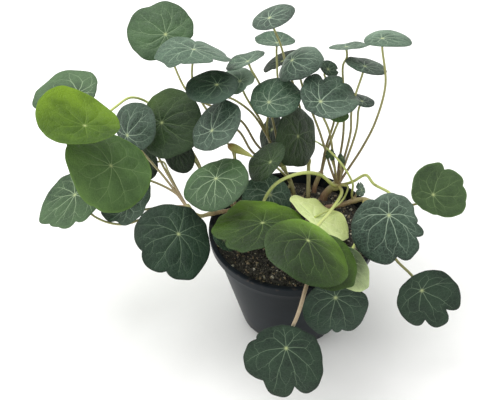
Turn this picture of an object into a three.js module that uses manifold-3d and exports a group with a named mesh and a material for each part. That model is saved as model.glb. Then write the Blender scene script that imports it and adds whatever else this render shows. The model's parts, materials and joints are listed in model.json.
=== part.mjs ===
/**
 * Potted nasturtium, Tropaeolum majus: round blades held at their middle on long stalks, which
 * rise from a few leafy stems rooted in a nursery pot.
 *
 * Millimetres, +Z up. The origin is the centre of the pot's underside, on the surface it stands on.
 * +X is to the right and -Y to the front.
 */
import * as THREE from 'three';
import { mergeVertices } from 'three/addons/utils/BufferGeometryUtils.js';
import ManifoldModule from 'manifold-3d';

const wasm = await ManifoldModule();
wasm.setup();

// ---- Driving dimensions ------------------------------------------------------------------------

const GAP = 0.3; // clearance between neighbouring pieces
const SAME_POINT = 1e-4; // corners nearer than this are one corner

const POT = {
  rimRadius: 65,
  baseRadius: 42,
  height: 94,
  lipHeight: 8.5, // the band round the rim
  lipStep: 1.8, // how far the band stands out from the wall
  lipDraft: 0.6, // how much narrower the band is at its foot
  lipRound: 1, // width and height of the worn top edge
  wall: 1.6,
  floor: 2.4,
  sides: 48,
  drains: 8, // notches cut through the corner of the base
  drainWidth: 9,
  drainHeight: 5,
};

const SOIL = {
  level: 87, // mean height of the surface
  roughness: 1.1, // height of the crumbs
  rings: 6,
  sides: 24,
  grains: 26, // white perlite grains sunk in the surface
  grainRadius: 1.5,
  grainSpread: 0.93, // share of the soil's radius that the grains reach
  grainProud: 0.3, // height of a grain's middle above the soil
  stemClear: 7, // no grain lies nearer to the middle of a stem
  seed: 7,
  holeSlack: 1.2, // how much wider a stem's hole is than the stem
};

const BLADE = {
  thickness: 0.7,
  sides: 24,
  rings: [0, 0.5, 1], // shares of the way from the hub to the margin
  notchWidth: 0.15, // radians
};

const STALK = {
  radius: 0.95,
  sides: 5,
  stepsPerPoint: 2, // straight lengths for each point of its path
  rise: 7, // a stalk meets its blade squarely over this length
};

const STEM = { sides: 7, stepsPerPoint: 3 };

const BUD = {
  nose: [-51, 35, 145], // the blunt end, and the way to the spur's tip
  spurTip: [-31, 27, 140],
  profile: [[0, 0], [2.4, 1.5], [3.9, 5], [3.6, 9], [2.2, 14], [1.1, 19], [0, 22.5]], // radius, along
  seat: [-45.2, 32.8, 139.86], // where its stalk ends, just under it
  sides: 8,
};

const DEGREE = Math.PI / 180;

// ---- Colours -----------------------------------------------------------------------------------

const TONES = {
  sunlit: { color: 0x6f9a38, roughness: 0.55 },
  green: { color: 0x54783f, roughness: 0.6 },
  dark: { color: 0x33493c, roughness: 0.6 },
  glaucous: { color: 0x5f7d6b, roughness: 0.7 },
  pale: { color: 0xc3d38c, roughness: 0.65 },
  reddish: { color: 0x8a5f50, roughness: 0.6 },
  olive: { color: 0x87803f, roughness: 0.6 },
  lime: { color: 0xb9c56a, roughness: 0.6 },
  tan: { color: 0xb49a78, roughness: 0.65 },
  plastic: { color: 0x2b3033, roughness: 0.45 },
  peat: { color: 0x2c2320, roughness: 0.95 },
};

// ---- Leaves ------------------------------------------------------------------------------------

/**
 * One blade. The hub is where its stalk joins it. The blade faces away from vertical by `lean`
 * degrees towards the compass bearing `toward` (0 = +X, 90 = +Y), and its longest reach is `turn`
 * degrees round from its downhill side. `offset` is how far off centre the hub sits, as a share of
 * the radius; `cup` lets the margin droop and `fold` lifts two opposite sides, both as shares of
 * the radius; each notch is [degrees round from the longest reach, depth as a share of the reach],
 * and a notch of negative depth is a lobe.
 */
const leaf = (name, tone, hub, [toward, lean, turn], [radius, offset], [cup, fold], notches = []) => ({
  name, tone, hub, toward, lean, turn, radius, offset, cup, fold, notches,
});

const SOFT_LOBES = [[76, 0.08], [21, 0.05], [340, 0.08], [281, 0.05], [244, 0.04], [210, 0.1]];
const SCALLOPS = [[345, 0.07], [12, 0.07], [38, 0.08], [66, 0.06]];
const CURLED = [[30, 0.25], [100, 0.22], [170, 0.2], [250, 0.22], [320, 0.25]];

const LEAVES = [
  // the tall ones at the back left
  leaf('leaf_01', 'green', [-106, 121, 190], [270, 32, 230], [27, 0.27], [0.06, 0], SOFT_LOBES),
  leaf('leaf_02', 'glaucous', [-78, 82, 200], [60, 15, 243], [29, 0.1], [0.09, 0.13],
    [[314, 0.08], [12, 0.15], [127, -0.28], [152, 0.15]]),
  leaf('leaf_03', 'dark', [-59, 57, 185], [247, 5, 308], [20, 0.2], [0.06, 0]),
  leaf('leaf_04', 'glaucous', [-37, 82, 190], [150, 25, 326], [16.5, 0.45], [0.03, 0.05]),
  leaf('leaf_05', 'dark', [-43.5, 81.6, 172], [217, 13, 297], [15.8, 0.33], [0.06, 0]),
  // the tall ones at the back, middle and right
  leaf('leaf_06', 'glaucous', [-21, 104, 215], [185, 20, 206], [17.5, 0.19], [0.08, 0]),
  leaf('leaf_07', 'glaucous', [-15.8, 126.2, 180], [81, 13, 25], [16.9, 0.37], [-0.04, 0.04]),
  leaf('leaf_08', 'dark', [-11.8, 139.8, 154], [158, 27, 299], [18.8, 0.22], [0.08, 0.05]),
  leaf('leaf_09', 'glaucous', [-3, 84, 190], [190, 33, 160], [18.8, 0.16], [0.37, -0.1]),
  leaf('leaf_10', 'dark', [26, 103, 170], [320, 28, 94], [8.2, 0.23], [0.07, 0.02]),
  leaf('leaf_11', 'dark', [-20.2, 62.2, 166], [253, 19, 150], [19.7, 0.38], [0.07, 0], [[202, 0.06]]),
  leaf('leaf_12', 'dark', [19, 51, 175], [286, 17, 120], [22.8, 0.46], [0.04, -0.13],
    [[46, 0.12], [2, 0.09], [91, 0.06]]),
  leaf('leaf_13', 'dark', [34, 62, 155], [310, 2, 309], [8, 0.12], [0.04, -0.02]),
  leaf('leaf_14', 'dark', [52.4, 76.4, 158], [25, 18, 86], [12.4, 0.32], [0.07, -0.05]),
  leaf('leaf_15', 'glaucous', [38.5, 94.3, 196], [107, 22, 311], [16.3, 0.32], [0.03, 0]),
  leaf('leaf_16', 'glaucous', [63, 75, 215], [111, 11, 247], [17.6, 0.23], [0.08, -0.08]),
  leaf('leaf_17', 'dark', [52.7, 81.2, 187], [37, 15, 30], [16.7, 0.27], [0.07, 0]),
  // the low ones on the right, outside the pot
  leaf('leaf_18', 'green', [109, 27, 105], [293, 30, 106], [23.2, 0.33], [0.04, -0.04],
    [[72, 0.08], [28, 0.06], [240, 0.12], [195, 0.06], [320, 0.05]]),
  leaf('leaf_19', 'dark', [69.5, -16.5, 123], [260, 48, 0], [26, 0.4], [0.05, 0],
    [[88, 0.16], [24, 0.1], [8, 0.04], [296, 0.09], [228, 0.15]]),
  leaf('leaf_20', 'dark', [96, -46, 75], [275, 65, 38], [23.8, 0.42], [0.05, 0.03],
    [[11, 0.16], [328, 0.14]]),
  // the low ones in front
  leaf('leaf_21', 'dark', [-3, -92, 62], [265, 60, 356], [29.2, 0.41], [0.06, -0.03],
    [[337, 0.16], [19, 0.14], [255, 0.06]]),
  leaf('leaf_22', 'dark', [31.4, -66.1, 88], [274, 66, 358], [23.1, 0.44], [0.1, -0.05],
    [[358, 0.14], [14, 0.06], [90, -0.1], [52, 0.05]]),
  leaf('leaf_23', 'sunlit', [-22, -24, 120], [104, 12, 104], [33, 0.09], [0.03, -0.05],
    [[341, -0.06], [302, 0.05], [273, -0.06], [218, 0.05], [8, 0.12], [44, -0.12], [72, 0.08]]),
  leaf('leaf_24', 'sunlit', [10.5, -62.8, 142], [14, 22, 265], [30.5, 0.27], [0.14, 0.06]),
  leaf('leaf_25', 'sunlit', [17.1, -59.9, 123], [339, 22, 33], [24.3, 0.3], [0.1, 0.04]),
  leaf('leaf_26', 'pale', [38.3, -50.9, 106], [339, 28, 15], [18.1, 0.25], [0.12, -0.05]),
  leaf('leaf_27', 'pale', [16, -9, 112], [28, 37, 27], [27, 0.46], [0, 0.06]),
  leaf('leaf_28', 'dark', [-51, -24.7, 102], [359, 34, 55], [10.4, 0.17], [0.08, 0.01]),
  leaf('leaf_29', 'dark', [-19, 88, 120], [200, 55, 0], [15.5, 0.2], [0.06, 0]),
  leaf('leaf_30', 'dark', [54.3, 34.3, 102], [330, 60, 200], [6, 0.2], [0.15, 0.1], CURLED),
  leaf('leaf_31', 'dark', [29.1, 44.4, 130], [300, 40, 0], [4.5, 0.1], [0.4, 0.2], CURLED),
  leaf('leaf_32', 'dark', [-17.9, 24.9, 137], [190, 39, 306], [18.2, 0.34], [0.05, 0.06]),
  leaf('leaf_33', 'dark', [2.9, 63.7, 132], [326, 68, 310], [24.6, 0.05], [0.1, -0.05]),
  leaf('leaf_34', 'dark', [-18, 22, 106], [293, 38, 304], [19.9, 0.19], [0.1, 0]),
  // the spread on the left
  leaf('leaf_35', 'glaucous', [-58, 7, 135], [205, 16, 70], [25, 0.16], [0.08, -0.03]),
  leaf('leaf_36', 'dark', [-84.4, -25.4, 108], [329, 34, 277], [30, 0.23], [0.05, 0.07],
    [[17, 0.13], [338, 0.05]]),
  leaf('leaf_37', 'dark', [-94.3, 58.8, 118], [235, 70, 34], [16.8, 0.1], [0.04, -0.05]),
  leaf('leaf_38', 'green', [-107.4, 71.4, 138], [237, 43, 109], [28.6, 0.21], [0.08, -0.05]),
  leaf('leaf_39', 'glaucous', [-62, 33, 160], [210, 36, 216], [22, 0.23], [0.1, 0.05], [[260, 0.07]]),
  leaf('leaf_40', 'glaucous', [-134.8, 61.7, 132], [240, 69, 151], [19.4, 0.5], [0.14, -0.05]),
  leaf('leaf_41', 'sunlit', [-154, 21, 172], [11, 16, 130], [31.2, 0.25], [-0.07, 0.12]),
  leaf('leaf_42', 'green', [-138.5, 16.2, 138], [343, 39, 219], [36.3, 0.08], [0.08, 0.18],
    [[65, 0.03], [344, 0.03]]),
  leaf('leaf_43', 'glaucous', [-177, 88, 155], [244, 8, 274], [27, 0.45], [0.06, 0]),
  leaf('leaf_44', 'glaucous', [-172.9, 18.9, 105], [212, 22, 34], [27.9, 0.18], [-0.04, 0.05], SCALLOPS),
  leaf('leaf_45', 'dark', [-130, 13.6, 100], [211, 23, 264], [21.5, 0.2], [0.05, -0.05]),
  leaf('leaf_46', 'dark', [-125.9, 74, 92], [236, 62, 311], [13.9, 0.09], [0.08, 0]),
  leaf('leaf_47', 'dark', [37.8, 44, 127], [330, 50, 0], [4.2, 0.1], [0.4, 0.2], CURLED),
];

/** Distance from the hub to the margin, at an angle round from the longest reach. */
function reach(blade, angle) {
  const across = blade.offset * Math.sin(angle);
  const circle = blade.offset * Math.cos(angle) + Math.sqrt(1 - across * across);
  let edge = 1;
  for (const [at, depth] of blade.notches) {
    const apart = Math.atan2(Math.sin(angle - at * DEGREE), Math.cos(angle - at * DEGREE));
    edge -= depth * Math.exp(-((apart / BLADE.notchWidth) ** 2));
  }
  return blade.radius * circle * edge;
}

/** Height of the blade above its flat plane, at an angle and a distance from the hub. */
function lift(blade, angle, distance) {
  const spread = distance / blade.radius;
  return blade.radius * spread * spread * (blade.fold * Math.cos(2 * angle) - blade.cup);
}

/** Angles of the spokes: evenly spaced, with the nearest one moved into the bottom of each notch. */
function spokes(blade) {
  const step = (2 * Math.PI) / BLADE.sides;
  const angles = Array.from({ length: BLADE.sides }, (_, i) => i * step);
  for (const [at] of blade.notches) {
    const nearest = Math.round((at * DEGREE) / step) % BLADE.sides;
    angles[nearest] = at * DEGREE - (nearest === 0 && at > 180 ? 2 * Math.PI : 0);
  }
  return angles;
}

/** A thin closed blade about its hub, facing +Z, cut into the same triangles on both faces. */
function bladeGeometry(blade) {
  const angles = spokes(blade);
  const position = [];
  for (const side of [1, -1]) {
    const skin = (side * BLADE.thickness) / 2;
    position.push(0, 0, skin);
    for (const share of BLADE.rings.slice(1)) {
      for (const angle of angles) {
        const distance = share * reach(blade, angle);
        const height = lift(blade, angle, distance) + skin;
        position.push(distance * Math.cos(angle), distance * Math.sin(angle), height);
      }
    }
  }
  const ringCount = BLADE.rings.length - 1;
  const perFace = 1 + ringCount * BLADE.sides;
  const at = (ring, spoke) => 1 + ring * BLADE.sides + (spoke % BLADE.sides);
  const triangles = [];
  for (let i = 0; i < BLADE.sides; i++) {
    triangles.push([0, at(0, i), at(0, i + 1)]);
    for (let ring = 1; ring < ringCount; ring++) {
      triangles.push([at(ring - 1, i), at(ring, i), at(ring, i + 1)]);
      triangles.push([at(ring - 1, i), at(ring, i + 1), at(ring - 1, i + 1)]);
    }
  }
  const index = [];
  for (const [a, b, c] of triangles) {
    index.push(a, b, c);
    index.push(perFace + a, perFace + c, perFace + b);
  }
  for (let i = 0; i < BLADE.sides; i++) {
    const [a, b] = [at(ringCount - 1, i), at(ringCount - 1, i + 1)];
    index.push(a, perFace + a, perFace + b);
    index.push(a, perFace + b, b);
  }
  const geometry = new THREE.BufferGeometry();
  geometry.setAttribute('position', new THREE.Float32BufferAttribute(position, 3));
  geometry.setIndex(index);
  geometry.computeVertexNormals();
  return geometry;
}

/** The turn that carries a blade from facing +Z to its own way of facing. */
function attitude(blade) {
  const axisY = new THREE.Vector3(0, 1, 0);
  const axisZ = new THREE.Vector3(0, 0, 1);
  return new THREE.Quaternion()
    .setFromAxisAngle(axisZ, blade.toward * DEGREE)
    .multiply(new THREE.Quaternion().setFromAxisAngle(axisY, blade.lean * DEGREE))
    .multiply(new THREE.Quaternion().setFromAxisAngle(axisZ, blade.turn * DEGREE));
}

// ---- Solids ------------------------------------------------------------------------------------

function material(tone) {
  const { color, roughness } = TONES[tone];
  return new THREE.MeshStandardMaterial({ color, roughness, metalness: 0 });
}

/** The geometry with nothing but its positions, so that shared corners can be merged. */
function stripped(geometry) {
  const bare = geometry.clone();
  bare.deleteAttribute('normal');
  bare.deleteAttribute('uv');
  return bare;
}

function toManifold(geometry) {
  const merged = mergeVertices(stripped(geometry), SAME_POINT);
  return new wasm.Manifold(new wasm.Mesh({
    numProp: 3,
    vertProperties: new Float32Array(merged.attributes.position.array),
    triVerts: new Uint32Array(merged.index.array),
  }));
}

function toGeometry(manifold) {
  const { vertProperties, triVerts } = manifold.getMesh();
  const geometry = new THREE.BufferGeometry();
  geometry.setAttribute('position', new THREE.Float32BufferAttribute(vertProperties, 3));
  geometry.setIndex([...triVerts]);
  geometry.computeVertexNormals();
  return geometry;
}

/** Joins closed geometries that grow into each other. */
function fuse(geometries) {
  return geometries.map(toManifold).reduce((whole, piece) => whole.add(piece));
}

/** A round bar along a smooth curve through the points. */
function bar(points, radius, sides, steps) {
  const section = new THREE.Shape();
  for (let i = 0; i < sides; i++) {
    const angle = (2 * Math.PI * i) / sides;
    const [x, y] = [radius * Math.cos(angle), radius * Math.sin(angle)];
    if (i === 0) section.moveTo(x, y);
    else section.lineTo(x, y);
  }
  section.closePath();
  const path = new THREE.CatmullRomCurve3(points, false, 'centripetal');
  return new THREE.ExtrudeGeometry(section, { steps, bevelEnabled: false, extrudePath: path });
}

/** A repeatable stream of numbers from 0 to 1. */
function dice(seed) {
  let state = seed;
  return () => {
    state = (Math.imul(state, 1664525) + 1013904223) >>> 0;
    return state / 4294967296;
  };
}

// ---- Stems and stalks --------------------------------------------------------------------------

/** The stalk of one blade: it leaves the stem at the first point and meets the blade's underside. */
const stalk = (carries, from, radius = STALK.radius, rise = STALK.rise) => ({
  carries, from, radius, rise,
});

/** Leafy stems, each with its own stalks. The path starts below the soil. */
const STEMS = [
  {
    name: 'stem_right_back', tone: 'reddish', radius: 3.1,
    path: [[25, 40, 78.5], [25, 40, 89.5], [29, 40, 97], [35, 38, 104]],
    stalks: [
      stalk('leaf_16', [[35, 38, 103], [43, 49, 110], [54, 60, 124], [63, 65, 146], [68.5, 71, 177]]),
      stalk('leaf_17', [[35, 38, 103], [38, 48, 113], [44, 61, 138], [44, 65, 160]]),
      stalk('leaf_15', [[35, 38, 103], [36, 52, 114], [39, 68, 132], [38.5, 87, 158], [37, 95, 178]]),
      stalk('leaf_14', [[35, 38, 103], [40, 48, 115], [49, 66, 138]]),
      stalk('leaf_12', [[35, 38, 103], [32, 48, 116], [27, 53, 145]]),
      stalk('leaf_09', [[35, 38, 103], [29, 43, 117], [20, 58, 140], [6, 78, 168]]),
      stalk('leaf_31', [[35, 38, 103], [33, 38, 116]], 0.7, 2),
      stalk('leaf_47', [[35, 38, 103], [37, 40, 115]], 0.7, 2),
      stalk('leaf_24', [[35, 38, 103], [38, 29, 105], [28, -4, 114], [18, -34, 128]], 1.2),
      stalk('leaf_23', [[35, 38, 103], [31, 33, 108], [21, 33, 118], [5, 24, 127], [-12.6, 14.5, 125],
        [-22, 10.3, 111.5], [-24, -6, 106]], 1.3),
      stalk('leaf_19', [[35, 38, 103], [42, 37, 106], [47.3, 33.5, 112], [56.3, 35, 117],
        [62.4, 29.2, 113], [75, 24, 108]], 1.1),
    ],
  },
  {
    name: 'stem_back', tone: 'reddish', radius: 2.1,
    path: [[17, 48, 78.5], [17, 48, 89.5], [19, 50, 97], [22, 50, 106]],
    stalks: [
      stalk('leaf_10', [[22, 50, 105], [25, 60, 122], [32, 78, 143], [28, 96, 158]]),
      stalk('leaf_13', [[22, 50, 105], [27, 58, 125], [32, 61, 142]]),
    ],
  },
  {
    name: 'stem_middle', tone: 'olive', radius: 1.8,
    path: [[12, 41, 78.5], [12, 41, 89.5], [12.2, 56, 96], [12, 70, 103]],
    stalks: [
      stalk('leaf_06', [[12, 70, 102], [8, 78, 130], [0, 94, 155], [-8, 105, 174], [-12.5, 104, 192]]),
      stalk('leaf_07', [[12, 70, 102], [0, 86, 130], [-14, 108, 154], [-15.5, 118, 166]]),
      stalk('leaf_08', [[12, 70, 102], [6, 92, 120], [-6, 122, 134]]),
      stalk('leaf_29', [[12, 70, 102], [0, 80, 110]]),
      stalk('leaf_33', [[12, 70, 102], [4, 69, 121]]),
    ],
  },
  {
    name: 'stem_left_back', tone: 'olive', radius: 1.7,
    path: [[0, 44, 78.5], [0, 44, 89.5], [-3, 49, 98], [-9, 52, 111]],
    stalks: [
      stalk('leaf_01', [[-9, 52, 110], [-29.3, 63.1, 122], [-43, 72.4, 140], [-64, 76, 150],
        [-86, 90, 154], [-97.5, 104, 168]]),
      stalk('leaf_02', [[-9, 52, 110], [-32.7, 56.5, 120], [-44.5, 63, 137], [-67, 68, 150],
        [-80, 77, 174]]),
      stalk('leaf_03', [[-9, 52, 110], [-21, 66, 128], [-33, 68, 150], [-46, 65, 165]]),
      stalk('leaf_04', [[-9, 52, 110], [-21, 86, 145], [-28.5, 84.5, 168], [-32.5, 80, 180]]),
      stalk('leaf_05', [[-9, 52, 110], [-21.4, 68.7, 126], [-26.1, 70.1, 140], [-39, 80, 158]]),
      stalk('leaf_11', [[-9, 52, 110], [-19.7, 65, 124], [-22, 66, 142]]),
      stalk('leaf_32', [[-3, 49, 98], [-7, 38, 113]]),
      stalk('leaf_34', [[-2, 47, 94], [-12, 37, 94]]),
    ],
  },
  {
    name: 'stem_left', tone: 'reddish', radius: 1.7,
    path: [[-8, 28, 78.5], [-8, 28, 89.5], [-18, 23, 97], [-45, 12, 99], [-63, 7, 99], [-73, 4, 99],
      [-83, 11, 103]],
    stalks: [
      stalk('leaf_42', [[-83, 11, 102], [-92, 23, 104], [-114, 38, 104], [-133, 38, 110]]),
      stalk('leaf_41', [[-63, 7, 99], [-70, 42, 98], [-88, 76, 108], [-106, 90, 121],
        [-118, 96, 136], [-130.7, 76, 159], [-139.7, 58.6, 162]], 1.1),
      stalk('leaf_46', [[-83, 11, 102], [-96, 40, 98], [-105, 62, 94], [-113, 80, 90]]),
      stalk('leaf_44', [[-83, 11, 102], [-105, 12, 95], [-135, 6, 86], [-158, 12, 88]]),
      stalk('leaf_45', [[-83, 11, 102], [-100, 15, 98], [-115, 17, 93]]),
      stalk('leaf_36', [[-73, 4, 99], [-81, -6, 97]]),
      stalk('leaf_43', [[-83, 11, 102], [-105, 42, 106], [-125, 68, 108], [-150, 88, 125]]),
      stalk('leaf_40', [[-83, 11, 102], [-103, 45, 108], [-118, 72, 112], [-130, 82, 118]]),
      stalk('leaf_38', [[-63, 7, 99], [-75.7, 48.7, 112], [-82.2, 54.1, 124], [-93, 73, 131]]),
      stalk('leaf_37', [[-63, 7, 99], [-68, 32, 100], [-80, 58, 107]]),
      stalk('leaf_35', [[-45, 12, 99], [-51, 10, 112]]),
      stalk('leaf_39', [[-45, 12, 99], [-48, 28, 112], [-47, 43, 126], [-51, 44, 138]]),
      stalk('flower_bud', [[-45, 12, 99], [-46, 28, 113], [-45, 34, 126]], 0.8, 5),
      stalk('leaf_28', [[-45, 12, 99], [-50, -8, 97]]),
    ],
  },
  {
    name: 'stem_right', tone: 'reddish', radius: 2,
    path: [[26, 26, 78.5], [26, 26, 89.5], [30, 25, 92], [38, 25, 94], [48, 28, 96], [56, 27, 98.5],
      [66, 21, 99]],
    stalks: [
      stalk('leaf_18', [[66, 21, 99], [80, 22, 98], [95, 25, 96]]),
      stalk('leaf_20', [[66, 21, 99], [73, 5, 94], [77, -18, 82], [90, -31, 75]], 1.1),
      stalk('leaf_26', [[56, 27, 98.5], [52, -9, 98.5], [44, -28, 98]], 1.2, 4),
      stalk('leaf_30', [[48, 28, 96], [50, 34, 98]], 0.8, 3),
    ],
  },
  {
    name: 'stem_front', tone: 'tan', radius: 1.4,
    path: [[8, -22, 78.5], [8, -22, 89.5], [9, -32, 94], [11, -46, 97]],
    stalks: [
      stalk('leaf_21', [[11, -46, 97], [10.8, -63.5, 100], [8.8, -72, 98], [6.8, -77.9, 93],
        [4.2, -81, 84], [1, -80, 70]], 1.4),
      stalk('leaf_22', [[9, -32, 94], [20, -42, 97], [27, -51, 97.5], [31, -59, 96.3]], 1, 4),
      stalk('leaf_25', [[9, -32, 94], [12, -42, 101]]),
      stalk('leaf_27', [[8, -24, 90.5], [9, -18, 97]]),
    ],
  },
];

/** The point where a stalk ends and the direction it arrives from, under the piece it carries. */
function seat(name) {
  const blade = LEAVES.find((item) => item.name === name);
  const hub = new THREE.Vector3(...(blade ? blade.hub : BUD.seat));
  const up = blade
    ? new THREE.Vector3(0, 0, 1).applyQuaternion(attitude(blade))
    : new THREE.Vector3(0, 0, 1);
  const clear = blade ? BLADE.thickness / 2 + 2 * GAP : GAP;
  return { hub, up, clear };
}

function stalkGeometry({ carries, from, radius, rise }) {
  const { hub, up, clear } = seat(carries);
  const points = from.map((point) => new THREE.Vector3(...point));
  points.push(hub.clone().addScaledVector(up, -rise), hub.clone().addScaledVector(up, -clear));
  return bar(points, radius, STALK.sides, STALK.stepsPerPoint * from.length);
}

function stemGeometry(stem) {
  const points = stem.path.map((point) => new THREE.Vector3(...point));
  const steps = STEM.stepsPerPoint * (points.length - 1);
  const parts = [bar(points, stem.radius, STEM.sides, steps)];
  parts.push(...stem.stalks.map(stalkGeometry));
  return toGeometry(fuse(parts));
}

// ---- Pot, soil and flower bud ------------------------------------------------------------------

/** Outer radius of the pot's tapered wall at a height. */
function wallRadius(height) {
  const top = POT.rimRadius - POT.lipStep;
  return POT.baseRadius + ((top - POT.baseRadius) * height) / POT.height;
}

function lathe(profile, sides) {
  const points = profile.map(([radius, height]) => new THREE.Vector2(radius, height));
  return new THREE.LatheGeometry(points, sides).rotateX(Math.PI / 2);
}

/** The pot: a tapered cup with a band round its rim and drain notches round its base. */
function potGeometry() {
  const lipFoot = POT.height - POT.lipHeight;
  const cup = lathe([
    [0, 0],
    [POT.baseRadius, 0],
    [wallRadius(lipFoot), lipFoot],
    [POT.rimRadius - POT.lipDraft, lipFoot],
    [POT.rimRadius, POT.height - POT.lipRound],
    [POT.rimRadius - POT.lipRound, POT.height],
    [wallRadius(POT.height) - POT.wall, POT.height],
    [wallRadius(POT.floor) - POT.wall, POT.floor],
    [0, POT.floor],
  ], POT.sides);
  let pot = toManifold(cup);
  for (let i = 0; i < POT.drains; i++) {
    const angle = (2 * Math.PI * i) / POT.drains;
    const notch = new THREE.BoxGeometry(POT.drainWidth, POT.drainWidth, POT.drainHeight);
    notch.translate(POT.baseRadius, 0, 0).rotateZ(angle);
    pot = pot.subtract(toManifold(notch));
  }
  return toGeometry(pot);
}

/** The soil: fills the pot, crumbly on top, with a plain blind hole for each stem. */
function soilGeometry() {
  const roll = dice(SOIL.seed);
  const foot = POT.floor + GAP;
  const flat = Math.cos(Math.PI / POT.sides);
  const innerRadius = (height) => (wallRadius(height) - POT.wall) * flat - GAP;
  const topRadius = innerRadius(SOIL.level);
  const profile = [[0, foot], [innerRadius(foot), foot]];
  for (let ring = SOIL.rings; ring >= 0; ring--) {
    profile.push([(topRadius * ring) / SOIL.rings, SOIL.level]);
  }
  const body = mergeVertices(stripped(lathe(profile, SOIL.sides)), SAME_POINT);
  const { position } = body.attributes;
  for (let i = 0; i < position.count; i++) {
    const fromAxis = Math.hypot(position.getX(i), position.getY(i));
    const inside = position.getZ(i) > foot + GAP && fromAxis < topRadius - GAP;
    const crumb = SOIL.roughness * (2 * roll() - 1);
    if (inside) position.setZ(i, SOIL.level + crumb);
  }
  let soil = toManifold(body);
  for (let i = 0; i < SOIL.grains; i++) {
    const angle = 2 * Math.PI * roll();
    const distance = SOIL.grainSpread * topRadius * Math.sqrt(roll());
    const grain = new THREE.OctahedronGeometry(SOIL.grainRadius * (0.7 + 0.6 * roll()));
    const [x, y] = [distance * Math.cos(angle), distance * Math.sin(angle)];
    const free = STEMS.every(({ path: [[footX, footY]] }) => (
      Math.hypot(x - footX, y - footY) > SOIL.stemClear
    ));
    grain.rotateZ(angle * SOIL.grains).translate(x, y, SOIL.level + SOIL.grainProud);
    if (free) soil = soil.add(toManifold(grain));
  }
  for (const { path: [[x, y, bottom]], radius } of STEMS) {
    const wide = radius + SOIL.holeSlack;
    const depth = 2 * (SOIL.level - bottom);
    const hole = new THREE.CylinderGeometry(wide, wide, depth, STEM.sides + 2);
    hole.rotateX(Math.PI / 2).translate(x, y, bottom - GAP + depth / 2);
    soil = soil.subtract(toManifold(hole));
  }
  return toGeometry(soil);
}

/** The flower bud: plump at one end and drawn out into its spur at the other. */
function budGeometry() {
  const profile = BUD.profile.map(([radius, along]) => new THREE.Vector2(radius, along));
  const bud = new THREE.LatheGeometry(profile, BUD.sides);
  const from = new THREE.Vector3(...BUD.nose);
  const axis = new THREE.Vector3(...BUD.spurTip).sub(from).normalize();
  bud.applyQuaternion(new THREE.Quaternion().setFromUnitVectors(new THREE.Vector3(0, 1, 0), axis));
  return bud.translate(from.x, from.y, from.z);
}

// ---- Assembly ----------------------------------------------------------------------------------

const plant = new THREE.Group();

function addMesh(name, geometry, tone) {
  const mesh = new THREE.Mesh(geometry, material(tone));
  mesh.name = name;
  plant.add(mesh);
  return mesh;
}

addMesh('pot', potGeometry(), 'plastic');
addMesh('soil', soilGeometry(), 'peat');
for (const stem of STEMS) addMesh(stem.name, stemGeometry(stem), stem.tone);
addMesh('flower_bud', budGeometry(), 'lime');
for (const blade of LEAVES) {
  const mesh = addMesh(blade.name, bladeGeometry(blade), blade.tone);
  mesh.position.set(...blade.hub);
  mesh.quaternion.copy(attitude(blade));
}

export default plant;
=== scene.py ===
"""Potted nasturtium, Tropaeolum majus: round blades on long stalks over a nursery pot.

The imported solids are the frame. Every piece here stands on them, in metres, with +Z up and the
origin at the centre of the pot's underside. Sizes in the tables are in millimetres.
"""

import json
import logging
import math
import random
from collections.abc import Iterable, Sequence
from dataclasses import dataclass, field, replace
from enum import Enum
from typing import ClassVar

import bmesh
import bpy
import numpy as np
from mathutils import Matrix, Quaternion, Vector, noise

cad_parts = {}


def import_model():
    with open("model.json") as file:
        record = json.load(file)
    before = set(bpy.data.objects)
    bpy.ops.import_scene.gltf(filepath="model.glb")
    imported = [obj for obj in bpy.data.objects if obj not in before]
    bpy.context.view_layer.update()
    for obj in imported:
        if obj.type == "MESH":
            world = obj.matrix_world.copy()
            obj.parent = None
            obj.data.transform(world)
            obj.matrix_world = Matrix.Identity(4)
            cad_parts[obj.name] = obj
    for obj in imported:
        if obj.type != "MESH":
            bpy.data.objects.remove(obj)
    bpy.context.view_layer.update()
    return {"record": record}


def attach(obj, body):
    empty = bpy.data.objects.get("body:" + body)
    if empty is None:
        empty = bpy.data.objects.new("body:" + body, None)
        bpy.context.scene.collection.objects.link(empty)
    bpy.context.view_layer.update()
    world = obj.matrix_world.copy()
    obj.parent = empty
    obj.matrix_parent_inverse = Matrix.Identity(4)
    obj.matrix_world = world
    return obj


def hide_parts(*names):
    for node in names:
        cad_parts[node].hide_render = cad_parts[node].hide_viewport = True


log = logging.getLogger("nasturtium")

MM = 0.001
BODY = "root"

Point = tuple[float, float, float]
Pair = tuple[float, float]
Colour = tuple[float, float, float, float]
Socket = bpy.types.NodeSocket
Chain = tuple[np.ndarray, dict[str, np.ndarray]]

HALVES = (0.5, 0.5, 0.5)


# ---- Node graphs ---------------------------------------------------------------------------------


def paint(code: str) -> Colour:
    """Turns a colour as painters name it into the linear values that shaders use.

    Args:
        code: Six hexadecimal digits, as in "5d7a2e".

    Returns:
        Linear red, green and blue, and full opacity.
    """
    parts = [int(code[i : i + 2], 16) / 255 for i in (0, 2, 4)]
    linear = [p / 12.92 if p <= 0.04045 else ((p + 0.055) / 1.055) ** 2.4 for p in parts]
    return (linear[0], linear[1], linear[2], 1.0)


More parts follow.
